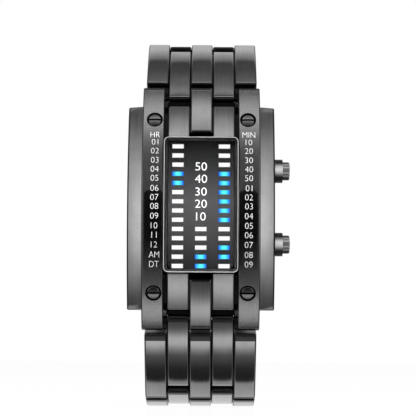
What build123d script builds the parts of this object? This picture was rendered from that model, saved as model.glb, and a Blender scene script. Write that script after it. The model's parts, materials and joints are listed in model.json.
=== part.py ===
"""Binary wristwatch on a five-column steel bracelet with a folding clasp.

X runs towards 3 o'clock and the push buttons, Y from the dial back to the clasp, and Z up
towards 12 o'clock. The origin is the centre of the case back's outer face. Millimetres.
"""

import math
import os

from build123d import *

# Case
case_width = 32.4
case_length = 45.0
case_thickness = 11.0
front_drop = 4.91
flank_radius = 60.0
flank_set_back = 2.7
flank_edge = 0.7
body_end = 22.5
body_end_round = 0.5
step_down = 0.6

# Bezel bars and centre lugs
side_plate_width = 3.3
bar_share = 0.185
bar_thickness = 3.4
lug_pin_height = 25.2
centre_lug_start = 15.9
edge_round = 0.3
outer_corner = 0.6
inner_corner = 0.4

# Bezel screws
bezel_screw_height = 19.0
bezel_screw_head = 1.5
bezel_screw_head_depth = 1.1
bezel_screw_shank = 0.8
bezel_screw_length = 4.2
screw_slot_width = 0.5
screw_slot_depth = 0.45

# Fits
seat_gap = 0.02
pin_clearance = 0.02
free_gap = 0.12
overrun = 1.0

# Window, crystal and display
window_side_gap = 0.05
window_length = 29.4
window_proud = 0.2
window_rim = 0.35
window_corner = 1.1
crystal_ledge = 0.45
crystal_thickness = 1.2
crystal_bevel = 0.25
gasket_thickness = 0.25
display_thickness = 0.5
light_bar_share = 0.1745
light_side_margin = 0.98
light_bar_height = 1.0
light_bar_thickness = 0.9
light_row_pitch = 2.0
light_rows_drop = 0.28
left_lights = "ooo##ooooooooo"
centre_lights = "ooo##"
right_lights = "ooo######oo##o"

# Module
guide_thickness = 1.7
board_thickness = 1.0
led_length = 1.6
led_height = 0.7
led_thickness = 0.6
cavity_wall = 2.3
cavity_length = 31.6
cavity_depth = 2.9
tray_margin = 0.1
tray_side_margin = 0.6
tray_thickness = 2.5
cell_margin = 2.6
cell_thickness = 2.0
clip_thickness = 0.2
clip_width = 5.0
clip_leg = 1.5
chip_side = 5.0
chip_thickness = 0.9

# Case back
back_thickness = 1.2
back_side_margin = 2.5
back_length = 40.0
back_corner = 4.0
back_bevel = 0.4
back_screw_inset = 1.6
back_screw_z = 14.0
back_screw_head = 1.1
back_screw_shank = 0.6
back_screw_length = 2.8
seal_width = 0.5
seal_inset = 0.25

# Push buttons
pusher_height = 8.1
pusher_depth = 4.4
pusher_travel = 0.8
collar_radius = 2.58
collar_length = 1.65
collar_floor = 0.38
collar_tube_radius = 1.93
collar_tube_length = 3.0
collar_tube_floor = 0.8
cap_radius = 2.0
cap_length = 2.03
cap_round = 0.35
cap_slide_gap = 0.1
stem_radius = 0.75
stem_length = 6.35
spring_room = 1.45
spring_wire = 0.11
spring_radius = 1.12
spring_turns = 4.5
seal_ring_width = 0.6
seal_ring_radius = 1.4
clip_ring_radius = 1.4
clip_ring_width = 0.3
clip_groove_radius = 0.6
clip_pocket = 1.75
clip_back_off = 0.1
contact_thickness = 0.15
contact_height = 2.2
contact_depth = 2.0

# Bracelet
bracelet_inset = 0.72
column_gap = 0.26
link_pitch = 17.5
link_thickness = 3.4
link_half_arc = 12.0
link_set_off = 2.15
inner_step_down = 0.5
pin_radius = 0.6
pin_end_inset = 0.3
upper_headings = (44.5, 94.0, 120.0, 147.0)
lower_headings = (31.0, 83.5, 113.0, 142.0)

# Clasp
clasp_radius = 42.0
cover_thickness = 1.0
cover_lift = 1.3
cover_wall = 1.0
cover_wall_depth = 1.0
cover_set_off = 1.9
cover_tail = 0.3
cover_notch_from_pin = 2.4
cover_edge = 0.35
clasp_pin_radius = 0.5
knuckle_radius = 0.85
cover_pin_from_end = 3.9
cover_pin_lift = 0.25
blade_pin_from_start = 5.2
blade_pin_lift = 0.25
middle_blade_lift = 0.25
middle_blade_thickness = 0.8
middle_blade_inset = 3.5
middle_knuckle_width = 3.0
middle_window_inset = 4.5
middle_window_arc = 14.0
long_blade_lift = 1.1
long_blade_thickness = 0.8
long_blade_inset = 1.0
finger_gap = 0.7
knuckle_gap = 0.3
button_from_start = 9.5
button_head = 1.4
button_head_length = 0.9
button_stem = 0.95
button_flange = 1.3
button_flange_length = 0.5
button_travel = 0.7
button_proud = 0.75

# Worked out from the sizes above
front_radius = ((case_length / 2) ** 2 + front_drop**2) / (2 * front_drop)
bars_span = case_width - 2 * side_plate_width
bar_width = bars_span * bar_share
bracelet_width = bars_span - 2 * bracelet_inset
window_width = bars_span - 2 * bar_width - 2 * window_side_gap
cavity_width = bars_span - 2 * cavity_wall
cell_radius = cavity_width / 2 - cell_margin
back_width = case_width - 2 * back_side_margin
back_screw_x = back_width / 2 - back_screw_inset
middle_blade_width = bracelet_width - 2 * middle_blade_inset
middle_window_width = middle_blade_width - 2 * middle_window_inset
long_blade_width = middle_blade_width - 2 * long_blade_inset
front_centre = front_radius - case_thickness
pin_circle = front_radius - bar_thickness / 2
lug_angle = math.degrees(math.asin(lug_pin_height / pin_circle))
bar_inner = front_radius - bar_thickness
column_pitch = (bracelet_width + column_gap) / 5
column_width = column_pitch - column_gap
outer_columns = (-2 * column_pitch, 0.0, 2 * column_pitch)
inner_columns = (-column_pitch, column_pitch)
bar_centre = bars_span / 2 - bar_width / 2
link_radius = link_pitch / 2 / math.sin(math.radians(link_half_arc))
set_off_angle = math.degrees(link_set_off / link_radius)
window_front = -case_thickness - window_proud
crystal_ledge_y = window_front + crystal_thickness + gasket_thickness
opening_width = window_width - 2 * window_rim - 2 * crystal_ledge
opening_length = window_length - 2 * window_rim - 2 * crystal_ledge
light_bar_width = opening_width * light_bar_share
light_column_spacing = opening_width / 2 - light_bar_width / 2 - light_side_margin
cavity_roof = -back_thickness - cavity_depth
display_front = crystal_ledge_y + seat_gap
guide_front = display_front + display_thickness + seat_gap
board_front = guide_front + guide_thickness + seat_gap
light_rows = len(left_lights)
light_start = (light_rows - 1) * light_row_pitch / 2 - light_rows_drop


def heading_point(start, heading, side, length):
    """The point at a distance from (y, z) along a heading from straight up, or down when side is -1."""
    turn = math.radians(heading)
    return (start[0] + length * math.sin(turn), start[1] + side * length * math.cos(turn))


def pin_path(side, headings):
    """The bracelet's hinge pins in (y, z), from the case to the clasp."""
    turn = math.radians(lug_angle)
    points = [(front_centre - pin_circle * math.cos(turn), side * pin_circle * math.sin(turn))]
    for heading in headings:
        points.append(heading_point(points[-1], heading, side, link_pitch))
    return points


upper_pins = pin_path(1, upper_headings)
lower_pins = pin_path(-1, lower_headings)
clasp_chord = math.dist(upper_pins[-1], lower_pins[-1])
clasp_half_arc = math.degrees(math.asin(clasp_chord / 2 / clasp_radius))
clasp_heading = math.degrees(
    math.atan2(lower_pins[-1][0] - upper_pins[-1][0], lower_pins[-1][1] - upper_pins[-1][1])
)


def case_plane(x=0.0):
    """Sketch plane through the centre of the case's front curve: its x is up, its y towards the viewer."""
    return Plane(origin=(x, front_centre, 0), x_dir=(0, 0, 1), z_dir=(1, 0, 0))


def arc_plane(start, heading, side, chord, half_arc, x=0.0):
    """Sketch plane through the centre of a curved piece that spans a chord from one pin to the next."""
    turn = math.radians(heading)
    along = (math.sin(turn), side * math.cos(turn))
    outward = (-math.cos(turn), side * math.sin(turn))
    drop = chord / 2 / math.tan(math.radians(half_arc))
    centre = [start[i] + along[i] * chord / 2 - outward[i] * drop for i in range(2)]
    return Plane(origin=(x, *centre), x_dir=(0, *along), z_dir=(side, 0, 0))


def polar(radius, angle):
    """The point at an angle in degrees from the sketch's y axis, turning towards its x axis."""
    turn = math.radians(angle)
    return Vector(radius * math.sin(turn), radius * math.cos(turn))


def along_arc(angle):
    """The unit direction along an arc at that angle."""
    turn = math.radians(angle)
    return Vector(math.cos(turn), -math.sin(turn))


def degrees_of(length, radius):
    """The angle that a length along an arc spans."""
    return math.degrees(length / radius)


def rail(inner, outer, start, finish, round_start=False, round_finish=False):
    """Adds a curved bar's side view to the sketch; a round end is a half circle about its pin."""
    half, mid = (outer - inner) / 2, (outer + inner) / 2
    with BuildLine() as side:
        ThreePointArc(polar(outer, start), polar(outer, (start + finish) / 2), polar(outer, finish))
        if round_finish:
            tip = polar(mid, finish) + along_arc(finish) * half
            ThreePointArc(polar(outer, finish), tip, polar(inner, finish))
        else:
            Line(polar(outer, finish), polar(inner, finish))
        ThreePointArc(polar(inner, finish), polar(inner, (start + finish) / 2), polar(inner, start))
        if round_start:
            tip = polar(mid, start) - along_arc(start) * half
            ThreePointArc(polar(inner, start), tip, polar(outer, start))
        else:
            Line(polar(inner, start), polar(outer, start))
    make_face(side.edges())


def round_corner(sketch, point, radius):
    """Rounds the sketch's corner nearest to a point."""
    fillet(sketch.vertices().sort_by_distance(point)[0], radius)


def round_square_end(sketch, inner, outer, angle):
    """Rounds the two corners of a curved bar's square end."""
    round_corner(sketch, polar(outer, angle), outer_corner)
    round_corner(sketch, polar(inner, angle), inner_corner)


def soften_sides(part):
    """Rounds the edges round the flat sides of pieces that were extruded along X."""
    sides = part.faces().filter_by(Axis.X)
    fillet(ShapeList(e for side in sides for e in side.outer_wire().edges()), edge_round)


def save(part, label):
    """Labels a finished piece and writes it."""
    part.label = label
    export_step(part, f"parts/{label}.step")


def rod(plane, point, radius, length):
    """Adds a cylinder along X, centred on a point of the plane."""
    with BuildSketch(plane) as section:
        with Locations(point):
            Circle(radius)
    extrude(section.sketch, amount=length / 2, both=True)


def make_bar_profile(x, start, round_start):
    """The side view of a bezel bar or centre lug, drilled for its bracelet pin."""
    with BuildSketch(case_plane(x)) as profile:
        rail(bar_inner, front_radius, start, lug_angle, round_start, True)
        if not round_start:
            round_square_end(profile, bar_inner, front_radius, start)
        ends = (lug_angle, -lug_angle) if round_start else (lug_angle,)
        with Locations([polar(pin_circle, end) for end in ends]):
            Circle(pin_radius + pin_clearance, mode=Mode.SUBTRACT)
    return profile.sketch


def bezel_screw_planes(side):
    """Planes on a bar's face at its two screws, looking out of the face."""
    planes = []
    for end in (1, -1):
        turn = math.asin(bezel_screw_height / front_radius)
        outward = (0, -math.cos(turn), end * math.sin(turn))
        place = (side * bar_centre, front_centre - front_radius * math.cos(turn), end * bezel_screw_height)
        planes.append(Plane(origin=place, x_dir=(1, 0, 0), z_dir=outward))
    return planes


def make_bezel_bar(side, label):
    """One numbered bar over the case's edge, with two counterbored screw holes."""
    with BuildPart() as bar:
        extrude(make_bar_profile(side * bar_centre, -lug_angle, True), amount=bar_width / 2, both=True)
        soften_sides(bar)
        with Locations(*bezel_screw_planes(side)):
            CounterBoreHole(
                radius=bezel_screw_shank + pin_clearance,
                counter_bore_radius=bezel_screw_head + free_gap,
                counter_bore_depth=bezel_screw_head_depth + free_gap,
                depth=bar_thickness + overrun,
            )
    save(bar.part, label)


def make_bezel_screws():
    """Four slotted screws that hold the bars down."""
    with BuildPart() as screws:
        for side in (-1, 1):
            for plane in bezel_screw_planes(side):
                head_top = plane.offset(-free_gap)
                with BuildSketch(head_top):
                    Circle(bezel_screw_head)
                extrude(amount=-bezel_screw_head_depth)
                with BuildSketch(head_top.offset(-bezel_screw_head_depth)):
                    Circle(bezel_screw_shank)
                extrude(amount=-bezel_screw_length + bezel_screw_head_depth)
                with BuildSketch(head_top):
                    Rectangle(2 * bezel_screw_head + overrun, screw_slot_width)
                extrude(amount=-screw_slot_depth, mode=Mode.SUBTRACT)
    save(screws.part, "bezel_screws")


def make_centre_lugs():
    """The two middle lugs that carry the first bracelet pins between the bars."""
    start = math.degrees(math.asin(centre_lug_start / front_radius))
    with BuildPart() as lugs:
        extrude(make_bar_profile(0, start, False), amount=column_width / 2, both=True)
        mirror(about=Plane.XY)
        soften_sides(lugs)
    save(lugs.part, "centre_lugs")


def make_case_pins():
    """The pins at the case's two ends, through bars, lugs and first links."""
    with BuildPart() as pins:
        for end in (1, -1):
            rod(case_plane(), polar(pin_circle, end * lug_angle), pin_radius, bars_span - 2 * pin_end_inset)
    save(pins.part, "case_end_pins")


def side_outline(radius, front, end, rear):
    """Adds a side view with a curved front: up to +-end in z, from the front curve back to the rear."""
    centre = front + radius
    edge = centre - math.sqrt(radius**2 - end**2)
    with BuildLine() as side:
        ThreePointArc((edge, -end), (front, 0), (edge, end))
        Line((edge, end), (rear, end))
        Line((rear, end), (rear, -end))
        Line((rear, -end), (edge, -end))
    make_face(side.edges())


def make_case_body():
    """The middle case: block, curved flanks, stepped end blocks, window wall, cavity and bores."""
    rear = -back_thickness
    middle_front = front_centre - bar_inner + seat_gap
    half_span = bars_span / 2 + seat_gap
    with BuildPart() as body:
        with BuildSketch(Plane.YZ):
            side_outline(bar_inner - seat_gap, middle_front, body_end, rear)
        extrude(amount=half_span, both=True)
        block_front = -case_thickness + step_down
        with BuildSketch(*[Plane.YZ.offset(x) for x in inner_columns]) as blocks:
            side_outline(front_radius - step_down, block_front, body_end, rear)
            for end in (1, -1):
                edge = front_centre - math.sqrt((front_radius - step_down) ** 2 - body_end**2)
                round_corner(blocks, (edge, end * body_end), body_end_round)
        extrude(amount=column_width / 2, both=True)
        with BuildSketch(Plane.XZ.offset(case_thickness / 2)):
            RectangleRounded(window_width, window_length, window_corner)
        extrude(amount=case_thickness / 2 + window_proud)
        flank_width = case_width / 2 - half_span
        for side in (-1, 1):
            with BuildSketch(Plane.YZ.offset(side * half_span)):
                side_outline(flank_radius, -case_thickness + flank_set_back, case_length / 2, rear)
            extrude(amount=side * flank_width)
        outside = body.faces().filter_by(Axis.X).group_by(Axis.X)
        rims = ShapeList(e for face in outside[0] + outside[-1] for e in face.edges())
        fillet(rims, flank_edge)
        with BuildSketch(Plane.XZ.offset(back_thickness)):
            Rectangle(cavity_width, cavity_length)
        extrude(amount=cavity_depth, mode=Mode.SUBTRACT)
        with BuildSketch(Plane.XZ.offset(back_thickness)):
            RectangleRounded(opening_width, opening_length, window_corner - window_rim)
        extrude(amount=case_thickness, mode=Mode.SUBTRACT)
        with BuildSketch(Plane.XZ.offset(-crystal_ledge_y)):
            RectangleRounded(
                window_width - 2 * window_rim, window_length - 2 * window_rim, window_corner - window_rim
            )
        extrude(amount=case_thickness, mode=Mode.SUBTRACT)
        with BuildSketch(Plane.XZ.offset(back_thickness)):
            offset_seal = 2 * (seal_inset + seal_width)
            Rectangle(cavity_width + offset_seal, cavity_length + offset_seal)
            Rectangle(cavity_width + 2 * seal_inset, cavity_length + 2 * seal_inset, mode=Mode.SUBTRACT)
        extrude(amount=seal_width, mode=Mode.SUBTRACT)
        for end in (1, -1):
            with BuildSketch(Plane.YZ.offset(cavity_width / 2 - overrun)):
                with Locations((-pusher_depth, end * pusher_height)):
                    Circle(clip_pocket)
            extrude(amount=case_width / 2, mode=Mode.SUBTRACT)
            with BuildSketch(Plane.YZ.offset(case_width / 2 - collar_tube_length)):
                with Locations((-pusher_depth, end * pusher_height)):
                    Circle(collar_tube_radius + pin_clearance)
            extrude(amount=collar_tube_length + overrun, mode=Mode.SUBTRACT)
            with BuildSketch(Plane.YZ.offset(case_width / 2)):
                with Locations((-pusher_depth, end * pusher_height)):
                    Circle(collar_radius + free_gap)
            extrude(amount=collar_radius, mode=Mode.SUBTRACT)
        for side in (-1, 1):
            with Locations(*bezel_screw_planes(side)):
                Hole(bezel_screw_shank + pin_clearance, bezel_screw_length + free_gap + pin_clearance)
        with BuildSketch(Plane.XZ.offset(back_thickness)):
            with GridLocations(2 * back_screw_x, 2 * back_screw_z, 2, 2):
                Circle(back_screw_shank + pin_clearance)
        extrude(amount=back_screw_length - back_thickness + free_gap, mode=Mode.SUBTRACT)
    save(body.part, "case_body")


def flat_ring(label, width, length, corner, band, front, thickness):
    """A flat rectangular ring in the dial's plane."""
    with BuildPart() as ring:
        with BuildSketch(Plane.XZ.offset(-front - thickness)):
            RectangleRounded(width, length, corner)
            Rectangle(width - 2 * band, length - 2 * band, mode=Mode.SUBTRACT)
        extrude(amount=thickness)
    save(ring.part, label)


def make_crystal():
    """The flat mineral crystal and the gasket that it sits on."""
    width = window_width - 2 * window_rim - 2 * seat_gap
    length = window_length - 2 * window_rim - 2 * seat_gap
    corner = window_corner - window_rim
    with BuildPart() as crystal:
        with BuildSketch(Plane.XZ.offset(-window_front - crystal_thickness + seat_gap)):
            RectangleRounded(width, length, corner)
        extrude(amount=crystal_thickness - seat_gap)
        chamfer(crystal.faces().sort_by(Axis.Y)[0].edges(), crystal_bevel)
    save(crystal.part, "display_crystal")
    gasket_front = window_front + crystal_thickness
    flat_ring("crystal_gasket", width, length, corner, crystal_ledge - seat_gap, gasket_front, gasket_thickness)


def light_places(lit):
    """Centres of the light bars in (x, z), lit or unlit; a column's bars run down to the last row."""
    columns = (
        (-light_column_spacing, left_lights),
        (0.0, centre_lights),
        (light_column_spacing, right_lights),
    )
    return [
        (x, light_start - (light_rows - len(lights) + row) * light_row_pitch)
        for x, lights in columns
        for row, light in enumerate(lights)
        if (light == "#") == lit
    ]


def make_display():
    """Display plate with its light bars, the light guide behind it, and the lamp board."""
    every_place = light_places(True) + light_places(False)
    width, length = opening_width - 2 * free_gap, opening_length - 2 * free_gap
    with BuildPart() as display:
        with BuildSketch(Plane.XZ.offset(-display_front - display_thickness)):
            RectangleRounded(width, length, window_corner)
            with Locations(*every_place):
                Rectangle(light_bar_width + seat_gap, light_bar_height + seat_gap, mode=Mode.SUBTRACT)
        extrude(amount=display_thickness)
    save(display.part, "display_plate")
    for label, lit in (("lit_light_bars", True), ("unlit_light_bars", False)):
        with BuildPart() as bars:
            with BuildSketch(Plane.XZ.offset(-display_front - light_bar_thickness)):
                with Locations(*light_places(lit)):
                    Rectangle(light_bar_width - seat_gap, light_bar_height - seat_gap)
            extrude(amount=light_bar_thickness)
        save(bars.part, label)
    with BuildPart() as guide:
        with BuildSketch(Plane.XZ.offset(-guide_front - guide_thickness)):
            RectangleRounded(width, length, window_corner)
            with Locations(*every_place):
                Rectangle(light_bar_width + seat_gap, light_bar_height + seat_gap, mode=Mode.SUBTRACT)
        extrude(amount=guide_thickness)
    save(guide.part, "light_guide_frame")
    with BuildPart() as board:
        with BuildSketch(Plane.XZ.offset(-board_front - board_thickness)):
            RectangleRounded(width, length, window_corner)
        extrude(amount=board_thickness)
    save(board.part, "lamp_board")
    with BuildPart() as lamps:
        with BuildSketch(Plane.XZ.offset(-board_front + seat_gap)):
            with Locations(*every_place):
                Rectangle(led_length, led_height)
        extrude(amount=led_thickness)
    save(lamps.part, "lamp_chips")


def make_module():
    """Battery tray, coin cell, its clip, the processor and the button contacts."""
    tray_front = cavity_roof + tray_margin
    tray_rear = tray_front + tray_thickness
    cell_front = tray_rear - cell_thickness
    side_x = cavity_width / 2 - tray_side_margin
    with BuildPart() as tray:
        with BuildSketch(Plane.XZ.offset(-tray_rear)):
            Rectangle(2 * side_x, cavity_length - 2 * tray_margin)
        extrude(amount=tray_thickness)
        with BuildSketch(Plane.XZ.offset(-tray_rear)):
            Circle(cell_radius + free_gap)
        extrude(amount=cell_thickness + seat_gap, mode=Mode.SUBTRACT)
        with BuildSketch(Plane.XZ.offset(-tray_rear)):
            Rectangle(chip_side + 2 * tray_margin, chip_side + 2 * tray_margin)
        extrude(amount=tray_thickness, mode=Mode.SUBTRACT)
        with BuildSketch(Plane.XZ.offset(-tray_rear)):
            clip_centre = cell_radius + clip_leg
            with Locations((0, clip_centre), (0, -clip_centre)):
                Rectangle(clip_width + 2 * free_gap, clip_leg + 2 * free_gap)
        extrude(amount=clip_leg + seat_gap, mode=Mode.SUBTRACT)
    save(tray.part, "battery_tray")
    with BuildPart() as cell:
        with BuildSketch(Plane.XZ.offset(-tray_rear)):
            Circle(cell_radius)
        extrude(amount=cell_thickness)
        fillet(cell.edges().filter_by(GeomType.CIRCLE), free_gap)
    save(cell.part, "coin_cell")
    with BuildPart() as clip:
        with BuildSketch(Plane.XZ.offset(-tray_rear - seat_gap - clip_thickness)):
            Rectangle(clip_width, 2 * clip_centre + clip_leg)
        extrude(amount=clip_thickness)
        with BuildSketch(Plane.XZ.offset(-tray_rear - seat_gap)):
            with Locations((0, clip_centre), (0, -clip_centre)):
                Rectangle(clip_width, clip_leg)
        extrude(amount=clip_leg)
    save(clip.part, "battery_clip")
    chip_front = board_front + board_thickness + seat_gap
    with BuildPart() as chip:
        with BuildSketch(Plane.XZ.offset(-chip_front - chip_thickness)):
            Rectangle(chip_side, chip_side)
        extrude(amount=chip_thickness)
    save(chip.part, "processor_chip")
    with BuildPart() as contacts:
        with BuildSketch(Plane.YZ.offset(side_x + seat_gap)):
            with Locations((-pusher_depth, pusher_height), (-pusher_depth, -pusher_height)):
                Rectangle(contact_depth, contact_height)
        extrude(amount=contact_thickness)
    save(contacts.part, "button_contacts")


def make_case_back():
    """The case back with its countersunk screws and the seal round the cavity."""
    with BuildPart() as back:
        with BuildSketch(Plane.XZ):
            RectangleRounded(back_width, back_length, back_corner)
        extrude(amount=back_thickness - seat_gap)
        chamfer(back.faces().sort_by(Axis.Y)[-1].edges(), back_bevel)
        with Locations(Plane(origin=(0, 0, 0), x_dir=(1, 0, 0), z_dir=(0, 1, 0))):
            with GridLocations(2 * back_screw_x, 2 * back_screw_z, 2, 2):
                CounterSinkHole(
                    radius=back_screw_shank + pin_clearance,
                    counter_sink_radius=back_screw_head + pin_clearance,
                    depth=back_thickness + overrun,
                )
    save(back.part, "case_back")
    head_depth = back_screw_head - back_screw_shank
    with BuildPart() as screws:
        with BuildSketch(Plane.XZ.offset(seat_gap)):
            with GridLocations(2 * back_screw_x, 2 * back_screw_z, 2, 2):
                Circle(back_screw_head - pin_clearance)
        extrude(amount=head_depth, taper=45)
        with BuildSketch(Plane.XZ.offset(seat_gap)):
            with GridLocations(2 * back_screw_x, 2 * back_screw_z, 2, 2):
                Circle(back_screw_shank - pin_clearance)
        extrude(amount=back_screw_length - seat_gap)
        with BuildSketch(Plane.XZ.offset(seat_gap)):
            with GridLocations(2 * back_screw_x, 2 * back_screw_z, 2, 2):
                Rectangle(2 * back_screw_head, screw_slot_width / 2)
        extrude(amount=head_depth / 2, mode=Mode.SUBTRACT)
    save(screws.part, "case_back_screws")
    outer = 2 * (seal_inset + seal_width - pin_clearance)
    inner = 2 * (seal_inset + pin_clearance)
    with BuildPart() as seal:
        with BuildSketch(Plane.XZ.offset(back_thickness)):
            Rectangle(cavity_width + outer, cavity_length + outer)
            Rectangle(cavity_width + inner, cavity_length + inner, mode=Mode.SUBTRACT)
        extrude(amount=seal_width - pin_clearance)
    save(seal.part, "case_back_seal")


def disc(x, radius, length, end, mode=Mode.ADD):
    """Adds or cuts a cylinder that starts at x on a push button's axis and runs outwards."""
    with BuildSketch(Plane.YZ.offset(x)) as section:
        with Locations((-pusher_depth, end * pusher_height)):
            Circle(radius)
    extrude(section.sketch, amount=length, mode=mode)


def make_pushers():
    """The two push buttons with collars, seals, return springs and retaining rings."""
    face = case_width / 2
    tube_end = face - collar_tube_length
    recess = face + collar_floor
    cap_start = recess + pusher_travel + seat_gap
    stem_end = cap_start - stem_length
    spring_start = tube_end + collar_tube_floor + seal_ring_width + 2 * seat_gap
    ring_start = tube_end - seat_gap - clip_ring_width
    with BuildPart() as collars:
        for end in (1, -1):
            disc(tube_end, collar_tube_radius, collar_tube_length + seat_gap, end)
            disc(face + seat_gap, collar_radius, collar_length, end)
            disc(recess, cap_radius + cap_slide_gap, collar_length, end, Mode.SUBTRACT)
            disc(tube_end + collar_tube_floor, spring_room, face, end, Mode.SUBTRACT)
            disc(tube_end - overrun, stem_radius + pin_clearance * 2, face, end, Mode.SUBTRACT)
    save(collars.part, "pusher_collars")
    with BuildPart() as seals:
        for end in (1, -1):
            disc(tube_end + collar_tube_floor + seat_gap, seal_ring_radius, seal_ring_width, end)
            disc(tube_end, stem_radius + pin_clearance * 2, face, end, Mode.SUBTRACT)
    save(seals.part, "pusher_seals")
    for name, end in (("upper", 1), ("lower", -1)):
        with BuildPart() as pusher:
            disc(cap_start, cap_radius, cap_length, end)
            fillet(pusher.faces().sort_by(Axis.X)[-1].edges(), cap_round)
            disc(stem_end, stem_radius, stem_length, end)
            with BuildSketch(Plane.YZ.offset(ring_start - seat_gap)):
                with Locations((-pusher_depth, end * pusher_height)):
                    Circle(stem_radius + overrun)
                    Circle(clip_groove_radius, mode=Mode.SUBTRACT)
            extrude(amount=clip_ring_width + 2 * seat_gap, mode=Mode.SUBTRACT)
        save(pusher.part, f"{name}_pusher")
        with BuildPart() as ring:
            disc(ring_start, clip_ring_radius, clip_ring_width, end)
            disc(ring_start, clip_groove_radius + seat_gap, clip_ring_width, end, Mode.SUBTRACT)
            with BuildSketch(Plane.YZ.offset(ring_start)):
                with Locations((-pusher_depth, end * (pusher_height + clip_ring_radius))):
                    Rectangle(clip_groove_radius, 2 * clip_ring_radius)
            extrude(amount=clip_ring_width, mode=Mode.SUBTRACT)
        save(ring.part, f"{name}_pusher_ring")
        rise = cap_start - spring_start - 2 * spring_wire - 2 * seat_gap
        with BuildPart() as spring:
            seat = (spring_start + spring_wire + seat_gap, -pusher_depth, end * pusher_height)
            with BuildLine():
                coil = Helix(rise / spring_turns, rise, spring_radius, center=seat, direction=(1, 0, 0))
            with BuildSketch(Plane(origin=coil @ 0, z_dir=coil % 0)):
                Circle(spring_wire)
            sweep(path=coil)
        save(spring.part, f"{name}_pusher_spring")


def make_link(prefix, number, side, pins, headings):
    """One bracelet link: three outer-column rails, two inner-column rails, and its two pins."""
    start, heading = pins[number - 1], headings[number - 1]

    def plane_at(x):
        return arc_plane(start, heading, side, link_pitch, link_half_arc, x)

    inner, outer = link_radius - link_thickness / 2, link_radius + link_thickness / 2
    first, last = -link_half_arc + set_off_angle, link_half_arc
    bore = pin_radius + pin_clearance
    with BuildPart() as rails:
        with BuildSketch(*[plane_at(x) for x in outer_columns]) as profile:
            rail(inner, outer, first, last, False, True)
            round_square_end(profile, inner, outer, first)
            with Locations(polar(link_radius, last), polar(link_radius, 0)):
                Circle(bore, mode=Mode.SUBTRACT)
        extrude(amount=column_width / 2, both=True)
        soften_sides(rails)
    save(rails.part, f"{prefix}_link_{number}_outer")
    with BuildPart() as fillers:
        with BuildSketch(*[plane_at(x) for x in inner_columns]) as profile:
            rail(inner, outer - inner_step_down, -last, -first, True, False)
            round_square_end(profile, inner, outer - inner_step_down, -first)
            with Locations(polar(link_radius, -last), polar(link_radius, 0)):
                Circle(bore, mode=Mode.SUBTRACT)
        extrude(amount=column_width / 2, both=True)
        soften_sides(fillers)
    save(fillers.part, f"{prefix}_link_{number}_inner")
    with BuildPart() as pair:
        for angle in (0, last):
            rod(plane_at(0), polar(link_radius, angle), pin_radius, bracelet_width - 2 * pin_end_inset)
    save(pair.part, f"{prefix}_link_{number}_pins")


def clasp_plane(x=0.0):
    """Sketch plane through the centre of the clasp's curve."""
    return arc_plane(upper_pins[-1], clasp_heading, 1, clasp_chord, clasp_half_arc, x)


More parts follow.
